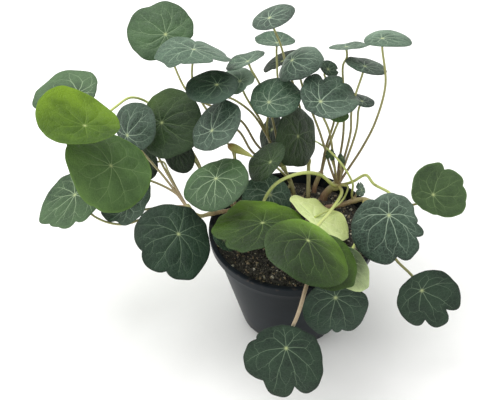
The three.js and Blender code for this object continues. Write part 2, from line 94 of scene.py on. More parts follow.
@dataclass
class Graph:
    """Adds nodes to a shader or geometry tree and joins their sockets."""

    tree: bpy.types.NodeTree

    def add(self, kind: str, inputs: dict | None = None, **settings: object) -> bpy.types.Node:
        """Adds one node.

        Args:
            kind: The node's type.
            inputs: Values or sockets by input name or number.
            **settings: The node's own properties.

        Returns:
            The new node.
        """
        node = self.tree.nodes.new(kind)
        for name, value in settings.items():
            setattr(node, name, value)
        for key, value in (inputs or {}).items():
            if isinstance(value, bpy.types.NodeSocket):
                self.tree.links.new(value, node.inputs[key])
            else:
                node.inputs[key].default_value = value
        return node

    def math(self, operation: str, first: object, second: object = 0.0) -> Socket:
        """Joins two numbers by an arithmetic operation."""
        return self.add("ShaderNodeMath", {0: first, 1: second}, operation=operation).outputs[0]

    def times(self, first: object, second: object) -> Socket:
        """Multiplies two numbers."""
        return self.math("MULTIPLY", first, second)

    def vector(self, operation: str, first: object, second: object) -> Socket:
        """Joins two vectors by an arithmetic operation, where SCALE takes a number second."""
        inputs = {0: first, "Scale" if operation == "SCALE" else 1: second}
        return self.add("ShaderNodeVectorMath", inputs, operation=operation).outputs[0]

    def place(self) -> Socket:
        """Gives where on the object each point lies, in metres."""
        return self.add("ShaderNodeTexCoord").outputs["Object"]

    def squeezed(self, place: Socket, height: float) -> Socket:
        """Scales a place's height alone, so that patterns stretch or flatten."""
        inputs = {"Vector": place, "Scale": (1.0, 1.0, height)}
        return self.add("ShaderNodeMapping", inputs).outputs[0]

    def speckle(self, place: Socket, scale: float, detail: float = 2.0) -> Socket:
        """Gives a soft random value for each place, around one half."""
        inputs = {"Vector": place, "Scale": scale, "Detail": detail}
        return self.add("ShaderNodeTexNoise", inputs).outputs["Fac"]

    def fade(self, value: Socket, low: float, high: float, top: float = 1.0) -> Socket:
        """Maps a value to a smooth step.

        Args:
            value: The value to map.
            low: Where the step starts at 0.
            high: Where the step ends.
            top: The step's final height.

        Returns:
            The mapped value.
        """
        inputs = {"Value": value, "From Min": low, "From Max": high, "To Max": top}
        node = self.add("ShaderNodeMapRange", inputs, interpolation_type="SMOOTHSTEP")
        return node.outputs["Result"]

    def blend(self, first: object, second: object, share: object) -> Socket:
        """Mixes two colours.

        Args:
            first: The first colour's code or socket.
            second: The second colour's code or socket.
            share: How much of the second shows.

        Returns:
            The mixed colour.
        """
        node = self.add("ShaderNodeMix", data_type="RGBA")
        for slot, value in ((0, share), (6, first), (7, second)):
            if isinstance(value, bpy.types.NodeSocket):
                self.tree.links.new(value, node.inputs[slot])
            else:
                node.inputs[slot].default_value = paint(value) if slot else value
        return node.outputs[2]

    def attribute(self, name: str) -> bpy.types.Node:
        """Reads a named value that the mesh carries, in a shader."""
        return self.add("ShaderNodeAttribute", attribute_name=name)

    def named(self, name: str) -> Socket:
        """Reads a named value that the mesh carries, in a geometry tree."""
        return self.add("GeometryNodeInputNamedAttribute", {"Name": name}).outputs[0]

    def store(self, geometry: Socket, name: str, value: Socket) -> Socket:
        """Keeps a value at each point of a geometry under a name."""
        inputs = {"Geometry": geometry, "Name": name, "Value": value}
        return self.add("GeometryNodeStoreNamedAttribute", inputs, domain="POINT").outputs[0]

    def swell(self, height: Socket, depth: float, strength: float = 1.0) -> Socket:
        """Turns a height pattern into a bumped normal, with its depth in metres."""
        inputs = {"Height": height, "Distance": depth, "Strength": strength}
        return self.add("ShaderNodeBump", inputs).outputs["Normal"]


def surface(name: str) -> tuple[bpy.types.Material, Graph, bpy.types.Node]:
    """Starts a material.

    Args:
        name: The material's name.

    Returns:
        The material, its graph and its surface shader.
    """
    material = bpy.data.materials.new(name)
    material.use_nodes = True
    shader = material.node_tree.nodes["Principled BSDF"]
    return material, Graph(material.node_tree), shader


def wire(graph: Graph, shader: bpy.types.Node, **sources: Socket) -> None:
    """Joins sockets to the surface shader.

    Args:
        graph: The material's graph.
        shader: The surface shader.
        **sources: Sockets by the shader's input name, with _ for a space.
    """
    for name, socket in sources.items():
        graph.tree.links.new(socket, shader.inputs[name.replace("_", " ")])


def tune(shader: bpy.types.Node, **values: float) -> None:
    """Sets uniform numbers on the surface shader, by input name with _ for a space."""
    for name, value in values.items():
        shader.inputs[name.replace("_", " ")].default_value = value


# ---- Finishes ------------------------------------------------------------------------------------


@dataclass(frozen=True)
class LeafFinish:
    """The waxy skin of a blade: green cells between pale veins, under a grey bloom."""

    name: str
    deep: str
    fresh: str
    bloom: str
    vein: str
    under: str
    margin: str
    vein_share: float = 0.8
    halo_share: float = 0.2
    net_share: float = 0.2
    margin_from: float = 0.93
    margin_share: float = 0.5
    mottle: float = 0.25
    vein_width: float = 1.0
    roughness: float = 0.5
    gloss: float = 0.3
    hub: str = "b6c083"
    # Painted light: the colour that a blade turns towards on its lit side.
    painted_light_colour: str = "6f9128"
    blotch_scale: float = 62.0
    cell_scale: float = 900.0
    net_scale: float = 300.0
    net_drift: float = 0.002
    relief: float = 0.0005

    def material(self) -> bpy.types.Material:
        """Builds the finish.

        Returns:
            A material that reads the blade's vein, halo, hub, reach, bright and under values.
        """
        material, graph, shader = surface(self.name)
        place = graph.place()
        blotch = graph.fade(graph.speckle(place, self.blotch_scale, 4), 0.3, 0.7)
        fine = graph.speckle(place, self.cell_scale, 3)
        net = self.veinlets(graph, place)
        names = ("vein", "halo", "hub", "reach", "bright", "under")
        values = (graph.attribute(name).outputs["Fac"] for name in names)
        vein, halo, hub, reach, bright, under = values
        cells = graph.blend(self.deep, self.fresh, blotch)
        cells = graph.blend(cells, self.bloom, graph.fade(fine, 0.42, 0.68, self.mottle))
        cells = graph.blend(cells, self.bloom, graph.times(halo, self.halo_share))
        cells = graph.blend(cells, self.bloom, graph.times(net, self.net_share))
        rim = graph.fade(reach, self.margin_from, 1.0, self.margin_share)
        cells = graph.blend(cells, self.margin, rim)
        # Painted light: the blade's lit side turns towards the painted light colour, in patches.
        painted_light_patches = graph.times(bright, graph.fade(blotch, -1.0, 1.0))
        cells = graph.blend(cells, self.painted_light_colour, painted_light_patches)
        top = graph.blend(cells, self.vein, graph.times(vein, self.vein_share))

        pale = graph.blend(self.under, self.bloom, graph.fade(fine, 0.3, 0.7, 0.5))
        back = graph.blend(pale, self.vein, graph.times(vein, 0.9))
        colour = graph.blend(top, back, under)
        colour = graph.blend(colour, self.hub, graph.times(hub, 0.9))

        relief = graph.math("SUBTRACT", graph.times(fine, 0.3), halo)
        relief = graph.math("SUBTRACT", relief, graph.times(net, 0.4))
        rough = graph.math("ADD", graph.times(fine, 0.2), self.roughness - 0.1)
        wire(graph, shader, Base_Color=colour, Roughness=rough)
        wire(graph, shader, Normal=graph.swell(relief, self.relief, 0.8))
        tune(shader, IOR=1.45, Specular_IOR_Level=self.gloss)
        return material

    def veinlets(self, graph: Graph, place: Socket) -> Socket:
        """Draws the finest net of veins, a few millimetres across each cell.

        Args:
            graph: The material's graph.
            place: Where on the object, in metres.

        Returns:
            One on a veinlet and zero in a cell.
        """
        drift = graph.add("ShaderNodeTexNoise", {"Vector": place, "Scale": 260.0}).outputs["Color"]
        nudge = graph.vector("SCALE", graph.vector("SUBTRACT", drift, HALVES), self.net_drift)
        inputs = {"Vector": graph.vector("ADD", place, nudge), "Scale": self.net_scale}
        cells = graph.add("ShaderNodeTexVoronoi", inputs, feature="DISTANCE_TO_EDGE")
        wall = graph.fade(cells.outputs["Distance"], 0.0, 0.14)
        return graph.math("SUBTRACT", 1.0, wall)


class Foliage(Enum):
    """The kinds of blade, from the youngest and brightest to the oldest."""

    SUNLIT = LeafFinish(
        "sunlit blade", "2f490a", "456111", "52701a", "8aa44e", "637c36", "4e6c1c",
        vein_share=0.35, halo_share=0.1, net_share=0.06, margin_from=0.9, margin_share=0.4,
        painted_light_colour="7a9a26", gloss=0.2,
    )
    FRESH = LeafFinish(
        "fresh blade", "15250a", "203610", "304918", "849f5a", "4b6533", "2c4616",
        vein_share=0.45, halo_share=0.1, net_share=0.06, margin_from=0.9, margin_share=0.4,
        painted_light_colour="70962b",
    )
    # Painted light: a lighter copy of GREEN, for blades that lie in the shade of others.
    MEADOW = LeafFinish(
        "meadow-green blade", "415b31", "54723e", "5f7c48", "9cb27e", "66804f", "67883f",
        vein_share=0.5, halo_share=0.12, net_share=0.08, painted_light_colour="6f8f45",
    )
    GREEN = LeafFinish(
        "green blade", "2c3f24", "3e5430", "526d3c", "8fa571", "56703f", "587839",
        vein_share=0.5, halo_share=0.12, net_share=0.08,
    )
    MOSS = LeafFinish(
        "moss-green blade", "1d2f18", "2c4022", "415836", "768d5e", "486037", "24361d",
        vein_share=0.5, halo_share=0.12, net_share=0.08,
    )
    SAGE = LeafFinish(
        "sage blade", "263a25", "384f31", "54704d", "acbf9a", "5f7454", "304129",
        net_share=0.28, vein_width=1.1, painted_light_colour="5b7a4d",
    )
    MILD = LeafFinish(
        "mild sage blade", "2d4429", "405a37", "5b7852", "a3b88f", "5f7454", "364a2e",
        vein_share=0.5, net_share=0.12, halo_share=0.14, vein_width=0.8, painted_light_colour="557348",
    )
    DARK = LeafFinish(
        "dark blade", "18281d", "263a29", "3b513d", "8ba183", "4e634c", "19241b",
        vein_share=0.6, vein_width=0.9, painted_light_colour="3d5445",
    )
    # Painted shade: a darker copy of DARK, for blades that stand in shadow.
    DEEP = LeafFinish(
        "deep green blade", "0e190d", "172612", "22371f", "667b57", "35482f", "121b10",
        vein_share=0.4, net_share=0.1, halo_share=0.1, gloss=0.15,
    )
    GREY = LeafFinish(
        "grey-green blade", "1b2b20", "2a3e2f", "4b6351", "aabda4", "5f745d", "1f2e24",
        halo_share=0.34, net_share=0.45, mottle=0.32, vein_width=1.15, gloss=0.4, painted_light_colour="8ba18c",
    )
    GLAUCOUS = LeafFinish(
        "glaucous blade", "2a4130", "3b5641", "5e7960", "b4c5ab", "677b62", "36483a",
        halo_share=0.34, net_share=0.45, mottle=0.32, gloss=0.4, painted_light_colour="93a994",
    )
    PALE = LeafFinish(
        "pale blade", "b9ca80", "d3e19a", "e0eab0", "f3f8cf", "cad699", "dbe6a8",
        vein_share=0.7, halo_share=0.5, hub="e6edb9", painted_light_colour="e0e88f",
    )
    PALE_GREY = LeafFinish(
        "pale grey blade", "202c1c", "30412a", "5a6f4a", "c3cfa5", "94a577", "8fa373",
        vein_share=0.4, halo_share=0.15, net_share=0.15, painted_light_colour="c6d89a",
    )


class Bark(Enum):
    """The colours that stems and stalks take along their length: foot, middle and tip."""

    REDDISH = ("70423f", "92775a", "aca973")
    OLIVE = ("745f45", "918b5a", "a3a56a")
    TAN = ("86705a", "9e8c72", "998a6c")
    LIME = ("a9b45e", "c3cd7d", "b9c672")

    def along(self, share: float) -> Colour:
        """Gives the colour at a share of the length.

        Args:
            share: Zero at the foot and one at the tip.

        Returns:
            The linear colour there.
        """
        foot, middle, tip = (np.array(paint(code)) for code in self.value)
        if share < 0.5:
            mixed = foot + (middle - foot) * share * 2
        else:
            mixed = middle + (tip - middle) * (share * 2 - 1)
        return tuple(float(part) for part in mixed)


@dataclass(frozen=True)
class StalkFinish:
    """The smooth, faintly streaked skin of stems and stalks."""

    name: str = "stalk skin"
    scar: str = "4d3428"
    fibre: str = "d3d4a4"
    roughness: float = 0.42
    relief: float = 0.00008

    def material(self) -> bpy.types.Material:
        """Builds the finish from the tint that each stalk carries.

        Returns:
            The material.
        """
        material, graph, shader = surface(self.name)
        place = graph.place()
        tint = graph.attribute("tint").outputs["Color"]
        streak = graph.speckle(graph.squeezed(place, 0.12), 1500, 2)
        patch = graph.speckle(place, 160, 3)
        dark = graph.blend(tint, self.scar, graph.fade(patch, 0.55, 0.75, 0.35))
        colour = graph.blend(dark, self.fibre, graph.fade(streak, 0.5, 0.75, 0.25))
        wire(graph, shader, Base_Color=colour, Normal=graph.swell(streak, self.relief, 0.6))
        tune(shader, Roughness=self.roughness, IOR=1.42)
        return material


@dataclass(frozen=True)
class PlasticFinish:
    """Near-black moulded plastic with fine scuffs and a little dried soil dust."""

    name: str = "pot plastic"
    base: str = "171c20"
    worn: str = "272d31"
    dust: str = "5a5148"
    roughness: float = 0.42
    relief: float = 0.00006
    low: float = 4 * MM
    high: float = 80 * MM
    lip_depth: float = 9 * MM

    def material(self) -> bpy.types.Material:
        """Builds the finish, with dust at the foot and under the rim.

        Returns:
            The material.
        """
        material, graph, shader = surface(self.name)
        place = graph.place()
        height = graph.add("ShaderNodeSeparateXYZ", {0: place}).outputs["Z"]
        cloud = graph.speckle(place, 32, 4)
        grain = graph.speckle(place, 1300, 2)
        scuff = graph.fade(graph.speckle(graph.squeezed(place, 6.0), 140, 5), 0.6, 0.72)
        colour = graph.blend(self.base, self.worn, graph.fade(cloud, 0.45, 0.7, 0.5))
        colour = graph.blend(colour, self.worn, graph.times(scuff, 0.35))
        foot = graph.fade(height, self.low * 4, self.low)
        lip = graph.fade(height, self.high, self.high + self.lip_depth, 0.35)
        soiled = graph.fade(graph.speckle(place, 210, 5), 0.55, 0.75)
        dusty = graph.times(graph.math("MAXIMUM", foot, lip), soiled)
        colour = graph.blend(colour, self.dust, dusty)
        rough = graph.math("ADD", graph.times(cloud, 0.22), self.roughness - 0.1)
        rough = graph.math("ADD", rough, graph.times(dusty, 0.3))
        wire(graph, shader, Base_Color=colour, Roughness=rough)
        wire(graph, shader, Normal=graph.swell(grain, self.relief, 0.35))
        tune(shader, IOR=1.49, Specular_IOR_Level=0.05, Sheen_Weight=0.14, Sheen_Roughness=0.35)
        return material


@dataclass(frozen=True)
class GrainFinish:
    """Loose matter: peat, bark or perlite, each grain a little different."""

    name: str
    dark: str
    light: str
    scale: float
    roughness: float = 0.9
    relief: float = 0.0003

    def material(self) -> bpy.types.Material:
        """Builds the finish.

        Returns:
            The material.
        """
        material, graph, shader = surface(self.name)
        place = graph.place()
        coarse = graph.fade(graph.speckle(place, self.scale, 3), 0.3, 0.7)
        fine = graph.speckle(place, self.scale * 8, 4)
        colour = graph.blend(self.dark, self.light, coarse)
        colour = graph.blend(colour, self.dark, graph.fade(fine, 0.5, 0.7, 0.6))
        wire(graph, shader, Base_Color=colour, Normal=graph.swell(fine, self.relief, 0.8))
        tune(shader, Roughness=self.roughness, IOR=1.4)
        return material


@dataclass(frozen=True)
class BudFinish:
    """The bud's soft sepals, green along the spur and orange-brown at the blunt end."""

    name: str = "bud skin"
    spur: str = "abad62"
    sepal: str = "97984f"
    nose: str = "93733f"
    streak: str = "5e4a2c"
    relief: float = 0.00015

    def material(self) -> bpy.types.Material:
        """Builds the finish from the share of the bud's length.

        Returns:
            The material.
        """
        material, graph, shader = surface(self.name)
        place = graph.place()
        along = graph.attribute("along").outputs["Fac"]
        streak = graph.speckle(place, 700, 3)
        colour = graph.blend(self.nose, self.sepal, graph.fade(along, 0.05, 0.35))
        colour = graph.blend(colour, self.spur, graph.fade(along, 0.4, 0.8))
        colour = graph.blend(colour, self.streak, graph.fade(streak, 0.55, 0.75, 0.4))
        wire(graph, shader, Base_Color=colour, Normal=graph.swell(streak, self.relief, 0.6))
        tune(shader, Roughness=0.5, IOR=1.42)
        return material


# ---- Meshes --------------------------------------------------------------------------------------


@dataclass
class Shell:
    """Corners, faces and named values of one mesh, in metres."""

    corners: np.ndarray
    faces: list[tuple[int, ...]]
    values: dict[str, np.ndarray] = field(default_factory=dict)

    def joined(self, other: "Shell") -> "Shell":
        """Puts another shell with the same named values into this one's mesh.

        Args:
            other: The shell to add.

        Returns:
            One shell that holds both.
        """
        shift = len(self.corners)
        moved = [tuple(corner + shift for corner in face) for face in other.faces]
        values = {
            name: np.concatenate([kept, other.values[name]]) for name, kept in self.values.items()
        }
        return Shell(np.vstack([self.corners, other.corners]), self.faces + moved, values)

    def piece(
        self, name: str, material: bpy.types.Material, crease: float = 50.0
    ) -> bpy.types.Object:
        """Makes the mesh's object, at the origin.

        Args:
            name: The piece's name.
            material: Its finish.
            crease: Edges that turn by more degrees than this stay sharp.

        Returns:
            The object, in the scene.
        """
        mesh = bpy.data.meshes.new(name)
        mesh.from_pydata(self.corners.tolist(), [], self.faces)
        for key, value in self.values.items():
            mesh.attributes.new(key, "FLOAT", "POINT").data.foreach_set("value", value)
        mesh.shade_smooth()
        mesh.set_sharp_from_angle(angle=math.radians(crease))
        mesh.materials.append(material)
        return in_scene(name, mesh)


def in_scene(name: str, data: bpy.types.ID) -> bpy.types.Object:
    """Links a new object to the scene.

    Args:
        name: The object's name.
        data: Its mesh, lamp or camera.

    Returns:
        The object.
    """
    made = bpy.data.objects.new(name, data)
    bpy.context.scene.collection.objects.link(made)
    return made


def baked(piece: bpy.types.Object) -> bpy.types.Mesh:
    """Works out an object's mesh.

    Args:
        piece: The object, whose own mesh stays as it is.

    Returns:
        A plain mesh, as the modifiers leave it.
    """
    graph = bpy.context.evaluated_depsgraph_get()
    return bpy.data.meshes.new_from_object(
        piece.evaluated_get(graph), preserve_all_data_layers=True, depsgraph=graph
    )


def polar(angle: np.ndarray, radius: np.ndarray | float, height: np.ndarray | float) -> np.ndarray:
    """Gives the points at some angles, distances from the axis and heights."""
    level = np.broadcast_to(height, angle.shape)
    return np.stack([radius * np.cos(angle), radius * np.sin(angle), level], 1)


def even_angles(count: int) -> np.ndarray:
    """Divides the full turn evenly, in radians."""
    return np.arange(count) * math.tau / count


def disc_faces(rings: int, spokes: int) -> list[tuple[int, ...]]:
    """Lists the faces of a disc whose corners are its middle, then ring by ring.

    Args:
        rings: How many rings of corners lie round the middle.
        spokes: How many corners each ring has.

    Returns:
        The faces, pointing up.
    """
    faces: list[tuple[int, ...]] = []
    for i in range(spokes):
        j = (i + 1) % spokes
        faces.append((0, 1 + i, 1 + j))
        for ring in range(rings - 1):
            near, far = 1 + ring * spokes, 1 + (ring + 1) * spokes
            faces.append((near + i, far + i, far + j, near + j))
    return faces


def chains(strokes: Iterable[Chain]) -> bpy.types.Mesh:
    """Makes a mesh of loose edges, one chain for each stroke.

    Args:
        strokes: The points of each stroke, and their named values.

    Returns:
        The mesh, with a number or a colour at each point for each name.
    """
    strokes = list(strokes)
    points = np.vstack([path for path, _ in strokes])
    edges: list[tuple[int, int]] = []
    start = 0
    for path, _ in strokes:
        edges += [(start + i, start + i + 1) for i in range(len(path) - 1)]
        start += len(path)
    mesh = bpy.data.meshes.new("chains")
    mesh.from_pydata(points.tolist(), edges, [])
    for key in strokes[0][1]:
        value = np.concatenate([values[key] for _, values in strokes])
        kind, slot = ("FLOAT", "value") if value.ndim == 1 else ("FLOAT_COLOR", "color")
        mesh.attributes.new(key, kind, "POINT").data.foreach_set(slot, value.ravel())
    return mesh


def smooth_path(points: Sequence[Point], per_span: int) -> np.ndarray:
    """Samples a centripetal Catmull-Rom curve through the points.

    Args:
        points: The points that the curve passes.
        per_span: How many samples each span between two points gets.

    Returns:
        The samples, with both ends.
    """
    given = [np.array(point, float) for point in points]
    padded = [2 * given[0] - given[1], *given, 2 * given[-1] - given[-2]]
    samples = []
    for before, start, end, after in zip(padded, padded[1:], padded[2:], padded[3:]):
        gaps = [
            max(float(np.linalg.norm(b - a)) ** 0.5, 1e-4)
            for a, b in ((before, start), (start, end), (end, after))
        ]
        leave = (start - before) / gaps[0] - (end - before) / (gaps[0] + gaps[1])
        leave = (leave + (end - start) / gaps[1]) * gaps[1]
        arrive = (end - start) / gaps[1] - (after - start) / (gaps[1] + gaps[2])
        arrive = (arrive + (after - end) / gaps[2]) * gaps[1]
        for step in range(per_span):
            t = step / per_span
            bend = (2 * start - 2 * end + leave + arrive) * t**3
            bend += (-3 * start + 3 * end - 2 * leave - arrive) * t**2
            samples.append(bend + leave * t + start)
    samples.append(given[-1])
    return np.array(samples)


# ---- Geometry Nodes ------------------------------------------------------------------------------


@dataclass
class NodeTool:
    """A geometry tree with named inputs, used on one mesh at a time."""

    name: str
    group: bpy.types.NodeTree = field(init=False)
    graph: Graph = field(init=False)
    source: bpy.types.Node = field(init=False)

    def __post_init__(self) -> None:
        """Starts the tree with its geometry input and output."""
        self.group = bpy.data.node_groups.new(self.name, "GeometryNodeTree")
        for way in ("INPUT", "OUTPUT"):
            self.group.interface.new_socket(
                "Geometry", in_out=way, socket_type="NodeSocketGeometry"
            )
        self.graph = Graph(self.group)
        self.source = self.graph.add("NodeGroupInput")

    def size(self, name: str, kind: str = "Float") -> Socket:
        """Adds a named input.

        Args:
            name: The input's name.
            kind: Its socket type, such as Float, Int or Material.

        Returns:
            The socket that carries it.
        """
        socket_type = f"NodeSocket{kind}"
        self.group.interface.new_socket(name, in_out="INPUT", socket_type=socket_type)
        return self.source.outputs[name]

    def swept(self, curve: Socket, profile: Socket, size: str) -> Socket:
        """Sweeps a profile along a curve and closes its ends.

        Args:
            curve: The curve.
            profile: The closed section.
            size: The named value that scales the section at each point.

        Returns:
            The mesh.
        """
        inputs = {"Curve": curve, "Profile Curve": profile, "Scale": self.graph.named(size)}
        inputs["Fill Caps"] = True
        return self.graph.add("GeometryNodeCurveToMesh", inputs).outputs[0]

    def close(self, geometry: Socket) -> None:
        """Ends the tree with what it has made."""
        self.graph.add("NodeGroupOutput", {0: geometry})

    def dress(self, geometry: Socket, material: Socket) -> None:
        """Ends the tree: real meshes, shaded smooth, with their finish.

        Args:
            geometry: What the tree has made.
            material: The finish.
        """
        real = self.graph.add("GeometryNodeRealizeInstances", {"Geometry": geometry})
        soft = self.graph.add("GeometryNodeSetShadeSmooth", {"Geometry": real.outputs[0]})
        inputs = {"Geometry": soft.outputs[0], "Material": material}
        self.close(self.graph.add("GeometryNodeSetMaterial", inputs).outputs[0])

    def run(self, mesh: bpy.types.Mesh, **inputs: object) -> bpy.types.Mesh:
        """Runs the tree on a mesh.

        Args:
            mesh: What the tree starts from.
            **inputs: Values by input name, with _ for a space.

        Returns:
            The plain mesh that comes out.
        """
        carrier = in_scene(self.name, mesh)
        modifier = carrier.modifiers.new(self.name, "NODES")
        modifier.node_group = self.group
        names = {
            item.name: item.identifier
            for item in self.group.interface.items_tree
            if item.item_type == "SOCKET" and item.in_out == "INPUT"
        }
        for name, value in inputs.items():
            modifier[names[name.replace("_", " ")]] = value
        made = baked(carrier)
        bpy.data.objects.remove(carrier)
        return made


def ridge_tool() -> NodeTool:
    """Builds the tree that lays a low closed ridge along each chain.

    Returns:
        A tool with the input Crown, which reads each point's half_width and glow and leaves a vein
        value that is highest along the middle.
    """
    tool = NodeTool("vein ridges")
    crown = tool.size("Crown")
    graph = tool.graph
    curve = graph.add("GeometryNodeMeshToCurve", {"Mesh": tool.source.outputs["Geometry"]})
    level = graph.add("GeometryNodeSetCurveNormal", {"Curve": curve.outputs[0]}, mode="Z_UP")
    middle = graph.add("ShaderNodeCombineXYZ", {"Y": crown})
    ends = {"Resolution": 3, "Start": (-1, 0, 0), "Middle": middle.outputs[0], "End": (1, 0, 0)}
    arch = graph.add("GeometryNodeCurveArc", ends, mode="POINTS")
    place = graph.add("GeometryNodeInputPosition").outputs[0]
    across = graph.add("ShaderNodeSeparateXYZ", {0: place})
    core = graph.math("SUBTRACT", 1.0, graph.math("ABSOLUTE", across.outputs["X"]))
    section = graph.add("GeometryNodeSetSplineCyclic", {0: arch.outputs["Curve"], "Cyclic": True})
    profile = graph.store(section.outputs[0], "core", core)
    ridge = tool.swept(level.outputs[0], profile, "half_width")
    strength = graph.times(graph.named("core"), graph.named("glow"))
    tool.close(graph.store(ridge, "vein", strength))
    return tool


def tube_tool() -> NodeTool:
    """Builds the tree that gives each chain a round section.

    Returns:
        A tool with the inputs Sides and Material, which reads each point's radius.
    """
    tool = NodeTool("stalk tubes")
    sides = tool.size("Sides", "Int")
    material = tool.size("Material", "Material")
    graph = tool.graph
    curve = graph.add("GeometryNodeMeshToCurve", {"Mesh": tool.source.outputs["Geometry"]})
    circle = graph.add("GeometryNodeCurvePrimitiveCircle", {"Resolution": sides, "Radius": 1.0})
    tool.dress(tool.swept(curve.outputs[0], circle.outputs[0], "radius"), material)
    return tool


def scatter_tool() -> NodeTool:
    """Builds the tree that strews irregular grains over a surface.

    Returns:
        A tool with the inputs Density, Smallest, Largest, Flatness, Seed, Detail and Material.
    """
    tool = NodeTool("strewn grains")
    density = tool.size("Density")
    smallest = tool.size("Smallest")
    largest = tool.size("Largest")
    flatness = tool.size("Flatness")
    seed = tool.size("Seed", "Int")
    detail = tool.size("Detail", "Int")
    material = tool.size("Material", "Material")
    graph = tool.graph
    inputs = {"Mesh": tool.source.outputs["Geometry"], "Density": density, "Seed": seed}
    points = graph.add("GeometryNodeDistributePointsOnFaces", inputs).outputs["Points"]
    ball = graph.add("GeometryNodeMeshIcoSphere", {"Radius": 1.0, "Subdivisions": detail})
    spin = graph.add("FunctionNodeRandomValue", {"Seed": seed}, data_type="FLOAT_VECTOR")
    spin.inputs["Max"].default_value = (math.tau, math.tau, math.tau)
    bulk = graph.add("FunctionNodeRandomValue", {"Seed": seed}, data_type="FLOAT")
    graph.tree.links.new(smallest, bulk.inputs[2])
    graph.tree.links.new(largest, bulk.inputs[3])
    low = graph.add("ShaderNodeCombineXYZ", {"X": 1.0, "Y": 0.8, "Z": flatness})
    scaled = graph.vector("SCALE", low.outputs[0], bulk.outputs[1])
    inputs = {"Points": points, "Instance": ball.outputs["Mesh"], "Scale": scaled}
    grains = graph.add("GeometryNodeInstanceOnPoints", inputs)
    graph.tree.links.new(spin.outputs[0], grains.inputs["Rotation"])
    real = graph.add("GeometryNodeRealizeInstances", {"Geometry": grains.outputs[0]})
    place = graph.add("GeometryNodeInputPosition").outputs[0]
    rough = graph.add("ShaderNodeTexNoise", {"Vector": place, "Scale": 700.0, "Detail": 1.0})
    push = graph.vector("SUBTRACT", rough.outputs["Color"], HALVES)
    inputs = {"Geometry": real.outputs[0], "Offset": graph.vector("SCALE", push, largest)}
    tool.dress(graph.add("GeometryNodeSetPosition", inputs).outputs[0], material)
    return tool


# ---- Blades --------------------------------------------------------------------------------------


@dataclass(frozen=True)
class Blade:
    """One round blade about its hub, where the stalk joins it; millimetres and degrees.

    facing is the bearing it leans to, how far it leans, and how far its longest reach is turned
    from its downhill side. size is its radius and how far off centre the hub sits. form is how far
    the margin droops and how far two opposite sides lift. Each notch is the angle from the longest
    reach and the depth, a hollow is the same but broad and soft, and a negative depth is a lobe.
    bright is the angle of the blade's palest side and how pale it gets: painted light, a paler
    colour laid on the side where light would fall. ripple is how far the margin waves up and down,
    and wobble how uneven its outline is. All lengths but the radius are shares of it.
    """

    name: str
    foliage: Foliage
    hub: Point
    facing: Point
    size: Pair
    form: Pair
    notches: tuple[Pair, ...] = ()
    hollows: tuple[Pair, ...] = ()
    # Painted light: the angle of the blade's lit side and how strong the painted light is.
    bright: Pair = (0.0, 0.0)
    ripple: float = 0.012
    wobble: float = 0.02
    notch_width: ClassVar[float] = 0.15
    hollow_width: ClassVar[float] = 0.24
    dimple: ClassVar[float] = 0.45
    dimple_width: ClassVar[float] = 2.6

    @property
    def radius(self) -> float:
        """The blade's mean radius."""
        return self.size[0]

    def reach(self, angle: np.ndarray) -> np.ndarray:
        """Measures from the hub to the margin.

        Args:
            angle: Angles from the longest reach, in radians.

        Returns:
            The distance at each angle.
        """
        radius, offset = self.size
        circle = offset * np.cos(angle) + np.sqrt(1 - (offset * np.sin(angle)) ** 2)
        waves = np.sin(7 * angle + self.hub[0]) * np.sin(3 * angle)
        waves += 0.4 * np.sin(19 * angle + self.hub[1])
        edge = 1 - self.wobble * (1.4 + waves) / 2.8
        for at, depth in self.hollows:
            edge -= depth * np.exp(-((self.apart(angle, at) / self.hollow_width) ** 2))
        for at, depth in self.notches:
            apart = self.apart(angle, at) / self.notch_width
            if depth < 0:
                edge -= depth * np.exp(-(apart**2))
            else:
                cleft = 1.25 * np.exp(-((apart / 0.65) ** 1.2))
                edge -= depth * (cleft - 0.1 * np.exp(-(((apart - 1.6) / 0.8) ** 2)))
        return radius * circle * edge

    @staticmethod
    def apart(angle: np.ndarray, at: float) -> np.ndarray:
        """Measures how far round angles in radians lie from one in degrees."""
        return np.abs(np.angle(np.exp(1j * (angle - math.radians(at)))))

    def painted_light_amount(self, angle: np.ndarray, share: np.ndarray) -> np.ndarray:
        """Measures the painted light at each place, which makes the blade paler on one side.

        Args:
            angle: Angles from the longest reach, in radians.
            share: Shares of the reach.

        Returns:
            Zero on the plain side, up to the blade's own strength.
        """
        at, strength = self.bright
        side = 0.5 + 0.5 * np.cos(angle - math.radians(at))
        return strength * side**2 * share**1.3

    def lift(self, angle: np.ndarray, distance: np.ndarray) -> np.ndarray:
        """Measures the blade's height over its flat plane.

        Args:
            angle: Angles from the longest reach, in radians.
            distance: Distances from the hub.

        Returns:
            The height at each place, with the dimple at the hub and the ripple of the margin.
        """
        cup, fold = self.form
        spread = distance / self.radius
        wave = np.sin(5 * angle + self.hub[0]) + 0.7 * np.sin(8 * angle + self.hub[1])
        ripple = self.ripple * self.radius * spread**3 * wave
        dimple = self.dimple * np.exp(-((distance / self.dimple_width) ** 2))
        return self.radius * spread**2 * (fold * np.cos(2 * angle) - cup) + ripple - dimple

    def attitude(self) -> Quaternion:
        """Works out the blade's way of facing.

        Returns:
            The turn from facing +Z.
        """
        toward, lean, turn = (math.radians(value) for value in self.facing)
        about_z, about_y = Vector((0, 0, 1)), Vector((0, 1, 0))
        first = Quaternion(about_z, toward) @ Quaternion(about_y, lean)
        return first @ Quaternion(about_z, turn)

    def placed(self, points: np.ndarray) -> np.ndarray:
        """Carries points from the blade's own frame to its place.

        Args:
            points: Points about the hub, in millimetres.

        Returns:
            The same points on the plant, in metres.
        """
        turn = np.array(self.attitude().to_matrix())
        return (points @ turn.T + np.array(self.hub)) * MM


